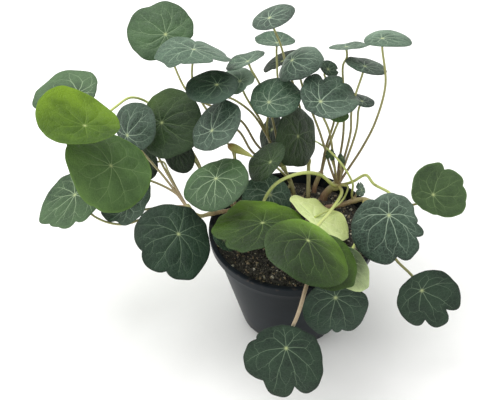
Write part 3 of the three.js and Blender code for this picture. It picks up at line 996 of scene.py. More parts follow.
@dataclass(frozen=True)
class Stroke:
    """One vein: its way in angles and shares of the reach, its half widths and how pale it is."""

    angle: np.ndarray
    share: np.ndarray
    width: Pair
    glow: Pair

    def chain(self, blade: Blade) -> Chain:
        """Lays the vein on the blade's flat plane.

        Args:
            blade: The blade that it runs in.

        Returns:
            Its points, and the half width and glow at each.
        """
        points = polar(self.angle, self.share * blade.reach(self.angle), 0.0)
        along = np.linspace(0, 1, len(points))
        width = self.width[0] + (self.width[1] - self.width[0]) * along
        glow = self.glow[0] + (self.glow[1] - self.glow[0]) * along
        return points, {"half_width": width, "glow": glow}


@dataclass(frozen=True)
class Main:
    """One main vein: its angles at the hub and the margin, its fork and how far it runs."""

    leave: float
    arrive: float
    fork: float
    tip: float

    def at(self, share: float) -> Pair:
        """Gives the angle and share of a place on it."""
        return (self.leave + (self.arrive - self.leave) * share**1.3, share)

    def after(self, other: "Main") -> "Main":
        """Gives the same vein with angles that follow those of its neighbour."""
        around = math.tau if self.leave < other.leave else 0.0
        return replace(self, leave=self.leave + around, arrive=self.arrive + around)


@dataclass
class Venation:
    """Main veins from the hub, whose branches meet in loops before the margin.

    Each kind of smaller vein has its half widths in millimetres and its glow, at both ends.
    """

    blade: Blade
    seed: int
    strokes: list[Stroke] = field(default_factory=list)
    small_radius: ClassVar[float] = 13.0
    main_width: ClassVar[float] = 0.46
    branch: ClassVar[tuple[Pair, Pair]] = ((0.29, 0.21), (0.66, 0.4))
    end_twig: ClassVar[tuple[Pair, Pair]] = ((0.21, 0.1), (0.4, 0.15))
    side_twig: ClassVar[tuple[Pair, Pair]] = ((0.2, 0.1), (0.45, 0.12))
    inner_twig: ClassVar[tuple[Pair, Pair]] = ((0.18, 0.1), (0.42, 0.15))

    def grow(self) -> list[Stroke]:
        """Draws every vein of the blade.

        Returns:
            The strokes.
        """
        roll = random.Random(self.seed)
        mains = self.mains(roll)
        for main in mains:
            start, end = (main.leave, 0.0), main.at(main.tip)
            width = (self.main_width, self.main_width - 0.3 * main.tip)
            self.draw(start, end, 18, width, (1.0, 1.0 - 0.4 * main.tip))
        for here, there in zip(mains, mains[1:] + mains[:1]):
            self.loop(roll, here, there.after(here))
        return self.strokes

    def mains(self, roll: random.Random) -> list[Main]:
        """Spreads the main veins round the hub; some of them end in a fork.

        Args:
            roll: The source of chance.

        Returns:
            The main veins, in order of angle.
        """
        count = 7 if self.blade.radius < self.small_radius else roll.choice((8, 9, 9))
        gap = math.tau / count
        start = roll.uniform(-0.3, 0.3) * gap
        made = []
        for number in range(count):
            leave = start + (number + roll.uniform(-0.16, 0.16)) * gap
            arrive = leave - 0.4 * math.sin(leave) + roll.uniform(-0.05, 0.05)
            fork = roll.uniform(0.42, 0.6)
            tip = fork if roll.random() < 0.4 else roll.uniform(0.86, 0.94)
            made.append(Main(leave, arrive, fork, tip))
        return made

    def loop(self, roll: random.Random, here: Main, there: Main) -> None:
        """Joins two main veins by branches that meet in a knot, with twigs beyond it.

        Args:
            roll: The source of chance.
            here: One main vein.
            there: Its neighbour, at the larger angle.
        """
        step = there.arrive - here.arrive
        knot = (here.arrive + step * roll.uniform(0.35, 0.65), roll.uniform(0.72, 0.85))
        for main in (here, there):
            moved = 0.0 if main.tip == main.fork else roll.uniform(-0.07, 0.07)
            root = main.at(main.fork + moved)
            bow, level = roll.uniform(0.8, 1.2), roll.uniform(1.0, 1.4)
            self.draw(root, knot, 12, *self.branch, bow, level)
        tip = (knot[0] + step * roll.uniform(-0.15, 0.15), roll.uniform(0.92, 0.97))
        self.draw(knot, tip, 5, *self.end_twig)
        for main, side in ((here, 1), (there, -1)):
            if main.tip > 0.8 and roll.random() < 0.5:
                root = main.at(roll.uniform(0.7, 0.8))
                tip = (root[0] + side * step * roll.uniform(0.12, 0.22), roll.uniform(0.9, 0.95))
                self.draw(root, tip, 6, *self.side_twig, 1.0, 1.3)
        if roll.random() < 0.45 and self.blade.radius > self.small_radius:
            root = here.at(roll.uniform(0.26, 0.36))
            tip = (root[0] + step * roll.uniform(0.4, 0.6), root[1] + roll.uniform(0.16, 0.26))
            self.draw(root, tip, 8, *self.inner_twig, 1.0, 1.2)

    def draw(
        self, start: Pair, end: Pair, steps: int, width: Pair, glow: Pair, bow: float = 1.3,
        level: float = 1.0,
    ) -> None:
        """Adds one vein.

        Args:
            start: Angle and share where it leaves.
            end: Angle and share where it stops.
            steps: How many points it gets.
            width: Half widths at both ends, in millimetres.
            glow: How pale it is at both ends.
            bow: Above one it turns late, and below one early.
            level: Above one it ends level with the margin, as in an arch.
        """
        thick = self.blade.foliage.value.vein_width * (0.6 + 0.4 * self.blade.radius / 28)
        t = np.linspace(0, 1, steps)
        angle = start[0] + (end[0] - start[0]) * t**bow
        share = start[1] + (end[1] - start[1]) * (1 - (1 - t) ** level)
        sway = 0.02 * np.sin(math.pi * t) * np.sin(11 * t + 5 * start[0])
        self.strokes.append(Stroke(angle + sway, share, (width[0] * thick, width[1] * thick), glow))


@dataclass
class Leaves:
    """Every blade as a thin, rippled skin with its veins on both faces; millimetres."""

    blades: Sequence[Blade]
    ridges: NodeTool
    slots: dict[str, str]
    thickness: float = 0.45
    cell: float = 1.6
    rim_out: float = 0.12
    halo_width: float = 1.1
    quilt: float = 0.34
    valley: float = 0.9
    slope: float = 2.6
    hub_width: float = 1.05
    crowding: float = 1.3
    crown_top: float = 0.16
    crown_under: float = 0.6
    rooted: float = 0.01
    first_seed: int = 40

    def build(self) -> list[bpy.types.Object]:
        """Builds all the blades, each in place of its solid.

        Returns:
            The pieces.
        """
        finishes = {kind: kind.value.material() for kind in Foliage}
        made = []
        for number, blade in enumerate(self.blades):
            strokes = Venation(blade, self.first_seed + number).grow()
            shell = self.skin(blade, strokes)
            for under in (False, True):
                shell = shell.joined(self.veins(blade, strokes, under))
            piece = shell.piece(f"{blade.name}_blade", finishes[blade.foliage])
            settle(piece, self.slots[blade.name], blade.name)
            made.append(piece)
        return made

    def skin(self, blade: Blade, strokes: Sequence[Stroke]) -> Shell:
        """Builds a blade's closed skin as rings about the hub.

        Args:
            blade: The blade.
            strokes: Its veins, which the halo follows.

        Returns:
            The skin with its vein, halo, hub, reach, bright and under values.
        """
        rings = max(6, round(blade.radius / self.cell))
        around = self.spokes(blade)
        spokes = len(around)
        angle = np.tile(around, rings)
        share = np.repeat((np.arange(1, rings + 1) / rings) ** self.crowding, spokes)
        distance = share * blade.reach(angle)
        half = self.half(share)
        gap, halo = self.near_veins(blade, strokes, polar(angle, distance, 0.0)[:, :2])
        mid = blade.lift(angle, distance) + self.quilted(gap, share)
        centre = blade.lift(np.zeros(1), np.zeros(1))[0]
        faces_out = []
        for side in (1, -1):
            hub = [[0.0, 0.0, centre + side * self.thickness / 2]]
            faces_out.append(np.vstack([hub, polar(angle, distance, mid + side * half)]))
        last = slice(-spokes, None)
        rim = polar(around, distance[last] + self.rim_out, mid[last])
        corners = np.vstack([*faces_out, rim])
        per_face = 1 + rings * spokes
        reach = np.concatenate([[0.0], share, [0.0], share, np.ones(spokes)])
        under = np.concatenate([np.zeros(per_face), np.ones(per_face), np.full(spokes, 0.5)])
        values = {
            "vein": np.zeros(len(corners)),
            "halo": np.concatenate([[1.0], halo, [1.0], halo, halo[last]]),
            "hub": self.near_hub(blade, np.hypot(corners[:, 0], corners[:, 1])),
            "reach": reach,
            # Painted light, stronger towards the blade's lit side.
            "bright": blade.painted_light_amount(np.arctan2(corners[:, 1], corners[:, 0]), reach),
            "under": under,
        }
        return Shell(blade.placed(corners), self.skin_faces(rings, spokes), values)

    def spokes(self, blade: Blade) -> np.ndarray:
        """Spaces a blade's spokes evenly, with the nearest ones moved into its notches.

        Args:
            blade: The blade.

        Returns:
            The spokes' angles from its longest reach, in radians.
        """
        count = max(48, round(math.tau * blade.radius / self.cell * 1.2))
        around = even_angles(count)
        for at, _ in blade.notches:
            bottom = math.radians(at) % math.tau
            apart = np.angle(np.exp(1j * (around - bottom)))
            nearest = int(np.abs(apart).argmin())
            around[nearest] -= apart[nearest]
        return around

    @staticmethod
    def skin_faces(rings: int, spokes: int) -> list[tuple[int, ...]]:
        """Lists the faces of a skin: both sides and the rounded rim between them.

        Args:
            rings: How many rings of corners lie round the hub.
            spokes: How many corners each ring has.

        Returns:
            The faces, pointing out.
        """
        below = 1 + rings * spokes
        rim = 2 * below
        outer = 1 + (rings - 1) * spokes
        top = disc_faces(rings, spokes)
        faces = top + [tuple(below + at for at in (face[0], *face[:0:-1])) for face in top]
        for i in range(spokes):
            j = (i + 1) % spokes
            faces.append((outer + i, rim + i, rim + j, outer + j))
            faces.append((rim + i, below + outer + i, below + outer + j, rim + j))
        return faces

    def half(self, share: np.ndarray) -> np.ndarray:
        """Gives half the thickness at some shares of the reach, thinnest at the margin."""
        return self.thickness / 2 * (1 - 0.5 * share**6)

    def near_hub(self, blade: Blade, distance: np.ndarray) -> np.ndarray:
        """Measures how near each place is to the hub.

        Args:
            blade: The blade; the smallest ones have hardly any pale spot.
            distance: Distances from the hub.

        Returns:
            At most one at the hub, falling to zero a few millimetres out.
        """
        return min(1.0, blade.radius / 12) ** 2 * np.exp(-((distance / self.hub_width) ** 2))

    def quilted(self, gap: np.ndarray, share: np.ndarray) -> np.ndarray:
        """Raises the skin between the veins, so that they lie in valleys.

        Args:
            gap: Distances to the nearest vein.
            share: Shares of the reach.

        Returns:
            How much each place rises; nothing at the margin.
        """
        rise = np.clip((gap - self.valley) / self.slope, 0, 1)
        return self.quilt * rise**2 * (3 - 2 * rise) * (1 - share**4)

    def near_veins(
        self, blade: Blade, strokes: Sequence[Stroke], flat: np.ndarray
    ) -> tuple[np.ndarray, np.ndarray]:
        """Measures each place against the veins.

        Args:
            blade: The blade.
            strokes: Its veins.
            flat: Places about the hub, on the blade's flat plane.

        Returns:
            The distance to the nearest vein, and a halo that is one on a strong vein and falls to
            zero beside it.
        """
        chains_here = [stroke.chain(blade) for stroke in strokes]
        points = np.vstack([path for path, _ in chains_here])[:, :2]
        glow = np.concatenate([values["glow"] for _, values in chains_here])
        gaps = ((flat[:, None] - points[None]) ** 2).sum(-1)
        halo = (np.exp(-gaps / self.halo_width**2) * glow).max(axis=1)
        return np.sqrt(gaps.min(axis=1)), halo

    def veins(self, blade: Blade, strokes: Sequence[Stroke], under: bool) -> Shell:
        """Lays the veins on one face of a blade.

        Args:
            blade: The blade.
            strokes: Its veins.
            under: Whether this is the underside, where the veins stand out more.

        Returns:
            The ridges, with the same named values as the skin.
        """
        crown = self.crown_under if under else self.crown_top
        flat = chains(stroke.chain(blade) for stroke in strokes)
        mesh = self.ridges.run(flat, Crown=-crown)
        count = len(mesh.vertices)
        points = np.empty(count * 3)
        mesh.vertices.foreach_get("co", points)
        points = points.reshape(-1, 3)
        vein = np.empty(count)
        mesh.attributes["vein"].data.foreach_get("value", vein)
        faces = [tuple(polygon.vertices) for polygon in mesh.polygons]
        shape = bmesh.new()
        shape.from_mesh(mesh)
        if under == (shape.calc_volume(signed=True) > 0):
            faces = [face[::-1] for face in faces]
        shape.free()
        bpy.data.meshes.remove(mesh)
        angle = np.arctan2(points[:, 1], points[:, 0])
        distance = np.hypot(points[:, 0], points[:, 1])
        share = np.clip(distance / blade.reach(angle), 0, 1)
        side = -1 if under else 1
        proud = self.half(share) - self.rooted + np.abs(points[:, 2])
        points[:, 2] = blade.lift(angle, distance) + side * proud
        values = {
            "vein": vein,
            "halo": np.ones(count),
            "hub": self.near_hub(blade, distance),
            "reach": share,
            # Painted light, stronger towards the blade's lit side.
            "bright": blade.painted_light_amount(angle, share),
            "under": np.full(count, float(under)),
        }
        return Shell(blade.placed(points), faces, values)


# ---- Stems ---------------------------------------------------------------------------------------


@dataclass(frozen=True)
class Stalk:
    """A stalk, from its stem through the points to its blade or bud, if any; millimetres."""

    carries: str
    points: tuple[Point, ...]
    radius: float = 0.95
    rise: float = 7.0
    bark: Bark = Bark.OLIVE


@dataclass(frozen=True)
class Stem:
    """A leafy stem that starts in the soil, and the stalks that leave it; millimetres."""

    name: str
    bark: Bark
    radius: float
    path: tuple[Point, ...]
    stalks: tuple[Stalk, ...]


@dataclass
class Stems:
    """All the stems, each one piece with its stalks; millimetres, and shares of the radius."""

    stems: Sequence[Stem]
    blades: Sequence[Blade]
    bud: "Bud"
    tubes: NodeTool
    slots: dict[str, str]
    per_span: int = 14
    sides: int = 14
    sunk: float = 0.62
    stem_foot: float = 1.1
    stem_taper: float = 0.3
    stem_widest: float = 1.3
    stalk_foot: float = 1.08
    stalk_taper: float = 0.16
    joint_swell: float = 0.14
    joint_width: float = 3.0
    foot_swell: float = 0.45
    foot_length: float = 4.0
    head_swell: float = 0.3
    head_length: float = 1.6
    tint_length: float = 9.0
    leave_share: float = 0.6

    def build(self) -> list[bpy.types.Object]:
        """Builds the stems, each in place of its solid.

        Returns:
            The pieces.
        """
        material = StalkFinish().material()
        made = []
        for stem in self.stems:
            strokes = [self.main(stem), *(self.stalk(stem, stalk) for stalk in stem.stalks)]
            mesh = self.tubes.run(chains(strokes), Sides=self.sides, Material=material)
            piece = in_scene(f"{stem.name}_with_stalks", mesh)
            settle(piece, self.slots[stem.name], stem.name)
            made.append(piece)
        return made

    def main(self, stem: Stem) -> Chain:
        """Lays out a stem.

        Args:
            stem: The stem.

        Returns:
            Its points in metres, with the radius and tint at each. It swells where stalks leave.
        """
        path = smooth_path(stem.path, self.per_span)
        share = np.linspace(0, 1, len(path))
        radius = stem.radius * (self.stem_foot - self.stem_taper * share)
        for stalk in stem.stalks:
            gap = np.linalg.norm(path - np.array(stalk.points[0]), axis=1)
            radius += stem.radius * self.joint_swell * np.exp(-((gap / self.joint_width) ** 2))
        tint = np.array([stem.bark.along(float(part)) for part in share])
        radius = np.minimum(radius, stem.radius * self.stem_widest)
        return path * MM, {"radius": radius * MM, "tint": tint}

    def stalk(self, stem: Stem, stalk: Stalk) -> Chain:
        """Lays out a stalk from its stem to the underside of what it carries.

        Args:
            stem: The stem that it leaves.
            stalk: The stalk. One that carries nothing ends at its last point.

        Returns:
            Its points in metres, with the radius and tint at each. It is thickest at its foot.
        """
        ends: list[Point] = []
        if stalk.carries:
            seat, up = self.seat(stalk.carries)
            ends = [tuple(seat - up * stalk.rise), tuple(seat)]
        path = smooth_path([*stalk.points, *ends], self.per_span)
        steps = np.linalg.norm(np.diff(path, axis=0), axis=1)
        along = np.concatenate([[0.0], np.cumsum(steps)])
        share = along / along[-1]
        foot = self.foot_swell * np.exp(-along / self.foot_length)
        head = self.head_swell * np.exp(-(along[-1] - along) / self.head_length)
        radius = stalk.radius * (self.stalk_foot - self.stalk_taper * share + foot + head)
        own = np.array([stalk.bark.along(float(part)) for part in share])
        start = np.array(stem.bark.along(self.leave_share))
        near = np.exp(-along / self.tint_length)[:, None]
        return path * MM, {"radius": radius * MM, "tint": own + (start - own) * near}

    def seat(self, name: str) -> tuple[np.ndarray, np.ndarray]:
        """Finds where a stalk ends.

        Args:
            name: What the stalk carries.

        Returns:
            The place, and the direction in which the stalk arrives.
        """
        for blade in self.blades:
            if blade.name == name:
                up = np.array(blade.attitude() @ Vector((0, 0, 1)))
                return np.array(blade.hub, float) - up * self.sunk, up
        return np.array(self.bud.seat, float), np.array((0.0, 0.0, 1.0))


# ---- Pot, soil and bud ---------------------------------------------------------------------------


def turned(profile: Sequence[Pair], spokes: int) -> Shell:
    """Turns a profile round the upright axis.

    Args:
        profile: Radius and height of each corner; it starts and ends on the axis.
        spokes: How many corners go round.

    Returns:
        A closed shell in metres.
    """
    angle = even_angles(spokes)
    rows = [np.array([[0.0, 0.0, profile[0][1]]])]
    rows += [polar(angle, radius, height) for radius, height in profile[1:-1]]
    rows.append(np.array([[0.0, 0.0, profile[-1][1]]]))
    last = len(profile) - 3
    end = 1 + (last + 1) * spokes
    faces: list[tuple[int, ...]] = []
    for i in range(spokes):
        j = (i + 1) % spokes
        faces.append((0, 1 + j, 1 + i))
        for row in range(last):
            low, high = 1 + row * spokes, 1 + (row + 1) * spokes
            faces.append((low + i, low + j, high + j, high + i))
        faces.append((end - spokes + i, end - spokes + j, end))
    return Shell(np.vstack(rows) * MM, faces)


@dataclass
class Pot:
    """A round tapered pot with a plain band round its rim and drain notches; millimetres."""

    slot: str
    rim_radius: float = 65.0
    base_radius: float = 42.0
    height: float = 94.0
    lip_height: float = 8.5
    lip_step: float = 1.8
    wall: float = 1.6
    floor: float = 2.4
    drains: int = 8
    drain_width: float = 9.0
    drain_height: float = 2.5
    spokes: int = 144
    crease: float = 35.0

    def wall_radius(self, height: float) -> float:
        """Gives the wall's outer radius at a height."""
        top = self.rim_radius - self.lip_step
        return self.base_radius + (top - self.base_radius) * height / self.height

    def profile(self) -> list[Pair]:
        """Draws the pot's section.

        Returns:
            Radius and height from the middle of the underside, up the outside and down inside.
        """
        foot = self.height - self.lip_height
        under = [(0.0, 0.8), (self.base_radius - 7.0, 0.8), (self.base_radius - 5.6, 0.0)]
        base = [(self.base_radius - 1.2, 0.0), (self.base_radius - 0.35, 0.35)]
        wall = [(self.wall_radius(h), h) for h in (1.2, 2.5, 3.4, *np.linspace(6, foot - 0.6, 9))]
        neck = [(self.wall_radius(foot) + 0.15, foot - 0.15), (self.rim_radius - 1.1, foot)]
        rim, brim = self.rim_radius, self.height
        band = [(rim - 0.65, foot + 0.35), (rim - 0.5, foot + 1.2), (rim - 0.12, brim - 1.8)]
        band += [(rim, brim - 1.1), (rim - 0.1, brim - 0.5), (rim - 0.45, brim - 0.12)]
        top = self.wall_radius(self.height) - self.wall
        lip = [(rim - 1.0, brim), (top + 0.45, brim)]
        lip += [(top + 0.1, self.height - 0.15), (top - 0.1, self.height - 0.6)]
        inside = [(self.wall_radius(h) - self.wall, h) for h in (self.height - 3, 60, 30, 6)]
        inner_floor = self.wall_radius(self.floor) - self.wall
        inside += [(inner_floor - 0.3, self.floor + 0.6), (inner_floor - 1.2, self.floor)]
        return [*under, *base, *wall, *neck, *band, *lip, *inside, (0.0, self.floor)]

    def build(self) -> list[bpy.types.Object]:
        """Turns the pot, cuts its drain notches and dresses it.

        Returns:
            The pot.
        """
        shell = turned(self.profile(), self.spokes)
        piece = shell.piece("moulded_pot", PlasticFinish().material(), self.crease)
        cutter = in_scene("drain cutter", self.notches())
        cut = piece.modifiers.new("drains", "BOOLEAN")
        cut.operation, cut.solver, cut.object = "DIFFERENCE", "EXACT", cutter
        mesh = baked(piece)
        piece.modifiers.clear()
        piece.data = mesh
        bpy.data.objects.remove(cutter)
        mesh.shade_smooth()
        mesh.set_sharp_from_angle(angle=math.radians(self.crease))
        settle(piece, self.slot, "pot")
        return [piece]

    def notches(self) -> bpy.types.Mesh:
        """Builds the blocks that cut the drain notches.

        Returns:
            One mesh with a block for each notch.
        """
        shape = bmesh.new()
        for number in range(self.drains):
            turn = Matrix.Rotation(math.tau * number / self.drains, 4, "Z")
            place = Matrix.Translation((self.base_radius * MM, 0, 0))
            size = (self.drain_width * MM, self.drain_width * MM, 2 * self.drain_height * MM)
            block = turn @ place @ Matrix.Diagonal((*size, 1))
            bmesh.ops.create_cube(shape, size=1.0, matrix=block)
        mesh = bpy.data.meshes.new("drain cutter")
        shape.to_mesh(mesh)
        shape.free()
        return mesh


@dataclass(frozen=True)
class Grains:
    """One kind of loose matter on the soil, with its grains per square metre; millimetres."""

    finish: GrainFinish
    smallest: float
    largest: float
    flatness: float
    density: float
    seed: int
    detail: int = 1


@dataclass
class Soil:
    """Crumbly potting soil with bark, perlite and sand strewn on it; millimetres."""

    pot: Pot
    slot: str
    scatter: NodeTool
    body_finish: GrainFinish = GrainFinish("peat soil", "272523", "504d46", 420)
    strewn: tuple[Grains, ...] = (
        Grains(GrainFinish("peat crumbs", "373531", "676359", 500), 0.5, 1.5, 0.75, 330e3, 2),
        Grains(GrainFinish("bark bits", "5f5546", "bba787", 300), 0.7, 2.0, 0.4, 44e3, 5),
        Grains(GrainFinish("perlite grains", "bfb8a4", "ece6d4", 350), 0.6, 1.9, 0.7, 17e3, 9, 2),
        Grains(GrainFinish("sand specks", "857f70", "cfc7b2", 900), 0.25, 0.6, 0.8, 190e3, 14),
    )
    level: float = 87.0
    gap: float = 0.35
    rings: int = 78
    spokes: int = 220
    clod: float = 1.5
    clod_width: float = 11.0
    crumb: float = 0.7
    crumb_width: float = 2.6
    fade_width: float = 4.0
    mound: float = 1.2
    sag: float = 0.8
    bed_share: float = 0.965

    def build(self) -> list[bpy.types.Object]:
        """Builds the soil's body and what lies on it.

        Returns:
            The pieces, the body first.
        """
        body = self.body().piece("potting_soil", self.body_finish.material(), 80)
        settle(body, self.slot, "soil")
        made = [body]
        for kind in self.strewn:
            mesh = self.scatter.run(
                self.bed(), Density=kind.density, Smallest=kind.smallest * MM,
                Largest=kind.largest * MM, Flatness=kind.flatness, Seed=kind.seed,
                Detail=kind.detail, Material=kind.finish.material(),
            )
            piece = in_scene(kind.finish.name.replace(" ", "_"), mesh)
            settle(piece, self.slot)
            made.append(piece)
        return made

    def top(self, points: np.ndarray) -> np.ndarray:
        """Measures the surface's height.

        Args:
            points: Places on the flat, in millimetres.

        Returns:
            The height at each, lumpy in the middle and level at the wall.
        """
        edge = self.radius(self.level)
        wide, fine = self.clod_width, self.crumb_width
        heights = []
        for x, y in points:
            from_axis = math.hypot(x, y)
            fade = min(1.0, max(0.0, (edge - from_axis) / self.fade_width))
            lumps = noise.noise(Vector((x / wide, y / wide, 3.1))) * self.clod
            crumbs = noise.fractal(Vector((x / fine, y / fine, 7.7)), 0.9, 2.1, 3) * self.crumb
            crown = self.mound * (1 - (from_axis / edge) ** 2)
            heights.append(self.level + (lumps + crumbs) * fade + crown - self.sag)
        return np.array(heights)

    def radius(self, height: float) -> float:
        """Gives the soil's radius at a height, just inside the wall."""
        return self.pot.wall_radius(height) - self.pot.wall - self.gap

    def disc(self) -> np.ndarray:
        """Lays out the surface's corners: the middle, then ring by ring.

        Returns:
            The corners, with their height.
        """
        edge = self.radius(self.level)
        angle = np.tile(even_angles(self.spokes), self.rings)
        distance = np.repeat(np.arange(1, self.rings + 1) / self.rings, self.spokes) * edge
        flat = np.vstack([[[0.0, 0.0]], polar(angle, distance, 0.0)[:, :2]])
        return np.column_stack([flat, self.top(flat)])

    def body(self) -> Shell:
        """Builds the closed body: surface, side and underside.

        Returns:
            The shell, in metres.
        """
        corners = self.disc()
        faces = disc_faces(self.rings, self.spokes)
        foot = self.pot.floor + self.gap
        ring = polar(even_angles(self.spokes), self.radius(foot), foot)
        low = len(corners)
        high = low - self.spokes
        corners = np.vstack([corners, ring, [[0.0, 0.0, foot]]])
        centre = len(corners) - 1
        for i in range(self.spokes):
            j = (i + 1) % self.spokes
            faces.append((high + i, low + i, low + j, high + j))
            faces.append((low + j, low + i, centre))
        return Shell(corners * MM, faces)

    def bed(self) -> bpy.types.Mesh:
        """Gives the open surface that the grains lie on, a little inside the wall.

        Returns:
            The mesh.
        """
        corners = self.disc()
        inner = np.column_stack([corners[:, :2] * self.bed_share, corners[:, 2]])
        mesh = bpy.data.meshes.new("soil surface")
        mesh.from_pydata((inner * MM).tolist(), [], disc_faces(self.rings, self.spokes))
        return mesh


@dataclass
class Bud:
    """A closed flower bud with its long spur; millimetres."""

    slot: str
    nose: Point = (-51.0, 35.0, 145.0)
    tip: Point = (-31.0, 27.0, 140.0)
    seat: Point = (-45.2, 32.8, 139.86)
    profile: tuple[Pair, ...] = (
        (0.0, 0.0), (2.0, 1.2), (3.3, 4.5), (3.2, 9.0), (2.2, 14.0), (1.3, 19.0), (0.0, 22.5),
    )
    ribs: int = 5
    ridge: float = 0.06
    twist: float = 3.0
    spokes: int = 30
    per_span: int = 8
    thinnest: float = 0.15

    def build(self) -> list[bpy.types.Object]:
        """Builds the bud in place of its solid.

        Returns:
            The bud.
        """
        length = self.profile[-1][1]
        flat = [(radius, along, 0.0) for radius, along in self.profile]
        section = smooth_path(flat, self.per_span)
        angle = even_angles(self.spokes)
        rows, share = [np.array([[0.0, 0.0, 0.0]])], [np.zeros(1)]
        for radius, along, _ in section[1:-1]:
            part = along / length
            turned_by = angle * self.ribs + self.twist * part
            fall = self.ridge * (1 - part)
            wide = max(radius, self.thinnest) * (1 - fall + fall * np.cos(turned_by))
            rows.append(polar(angle, wide, along))
            share.append(np.full(self.spokes, part))
        rows.append(np.array([[0.0, 0.0, length]]))
        share.append(np.ones(1))
        faces = turned([(0.0, 0.0)] * len(rows), self.spokes).faces
        corners = np.vstack(rows)
        axis = (Vector(self.tip) - Vector(self.nose)).normalized()
        turn = np.array(Vector((0, 0, 1)).rotation_difference(axis).to_matrix())
        placed = (corners @ turn.T + np.array(self.nose)) * MM
        shell = Shell(placed, faces, {"along": np.concatenate(share)})
        piece = shell.piece("closed_bud", BudFinish().material(), 80)
        settle(piece, self.slot, "flower_bud")
        return [piece]


# ---- Studio --------------------------------------------------------------------------------------


@dataclass
class Studio:
    """A pale floor, soft light and the camera; metres and degrees.

    Each lamp has its place, its size across and its power in watts. focal is in pixels of the
    picture's width, and turn is the camera's own pitch, yaw and roll.
    """

    distance: float = 0.6
    elevation: float = 44.2
    aim_height: float = 0.094
    focal: float = 776.0
    picture: float = 500.0
    turn: Point = (1.85, 3.19, 1.2)
    floor_size: float = 14.0
    sky_strength: float = 0.95
    lamps: tuple[tuple[str, Point, float, float], ...] = (
        ("key light", (-0.45, 0.5, 1.3), 1.3, 14.0),
        ("side light", (-1.3, -0.2, 0.5), 0.7, 5.0),
    )

    def build(self) -> None:
        """Sets up the floor, the light and the camera."""
        bpy.context.scene.view_settings.view_transform = "Standard"
        self.floor()
        self.light()
        self.camera()

    def floor(self) -> None:
        """Lays the floor under the pot."""
        material, graph, shader = surface("studio floor")
        place = graph.place()
        tone = graph.blend("f6f6f4", "fbfbf9", graph.speckle(place, 40, 2))
        wire(graph, shader, Base_Color=tone)
        tune(shader, Roughness=0.9)
        half = self.floor_size / 2
        corners = np.array([[-half, -half, 0], [half, -half, 0], [half, half, 0], [-half, half, 0]])
        Shell(corners, [(0, 1, 2, 3)]).piece("studio_floor", material)

    def light(self) -> None:
        """Hangs a large soft light high at the back left, one at the left, and a white sky."""
        world = bpy.data.worlds.new("studio sky")
        world.use_nodes = True
        sky = world.node_tree.nodes["Background"].inputs
        sky["Color"].default_value = (1.0, 1.0, 1.0, 1.0)
        sky["Strength"].default_value = self.sky_strength
        bpy.context.scene.world = world
        for name, place, size, power in self.lamps:
            lamp = bpy.data.lights.new(name, "AREA")
            lamp.shape, lamp.size, lamp.energy = "DISK", size, power
            holder = in_scene(name, lamp)
            holder.location = place
            aim = Vector((0, 0, self.aim_height)) - Vector(place)
            holder.rotation_euler = aim.to_track_quat("-Z", "Y").to_euler()

    def camera(self) -> None:
        """Stands the camera in front, looking down on the plant."""
        down = math.radians(self.elevation)
        data = bpy.data.cameras.new("camera")
        data.sensor_width = 36.0
        data.lens = self.focal * data.sensor_width / self.picture
        data.clip_start, data.clip_end = 0.05, 20.0
        holder = in_scene("camera", data)
        forward = Vector((0.0, math.cos(down), -math.sin(down)))
        right = Vector((1.0, 0.0, 0.0))
        up = right.cross(forward)
        axes = Matrix((right, up, -forward)).transposed()
        pitch, yaw, roll = (math.radians(value) for value in self.turn)
        own = Matrix.Rotation(yaw, 3, "Y") @ Matrix.Rotation(pitch, 3, "X")
        facing = (axes @ own @ Matrix.Rotation(roll, 3, "Z")).to_4x4()
        place = Vector((0, 0, self.aim_height)) - forward * self.distance
        holder.matrix_world = Matrix.Translation(place) @ facing
        bpy.context.scene.camera = holder


# ---- The plant's own measures --------------------------------------------------------------------

SCALLOPS = ((345, 0.07), (12, 0.07), (38, 0.08), (66, 0.06))
CURLED = ((30, 0.25), (100, 0.22), (170, 0.2), (250, 0.22), (320, 0.25))

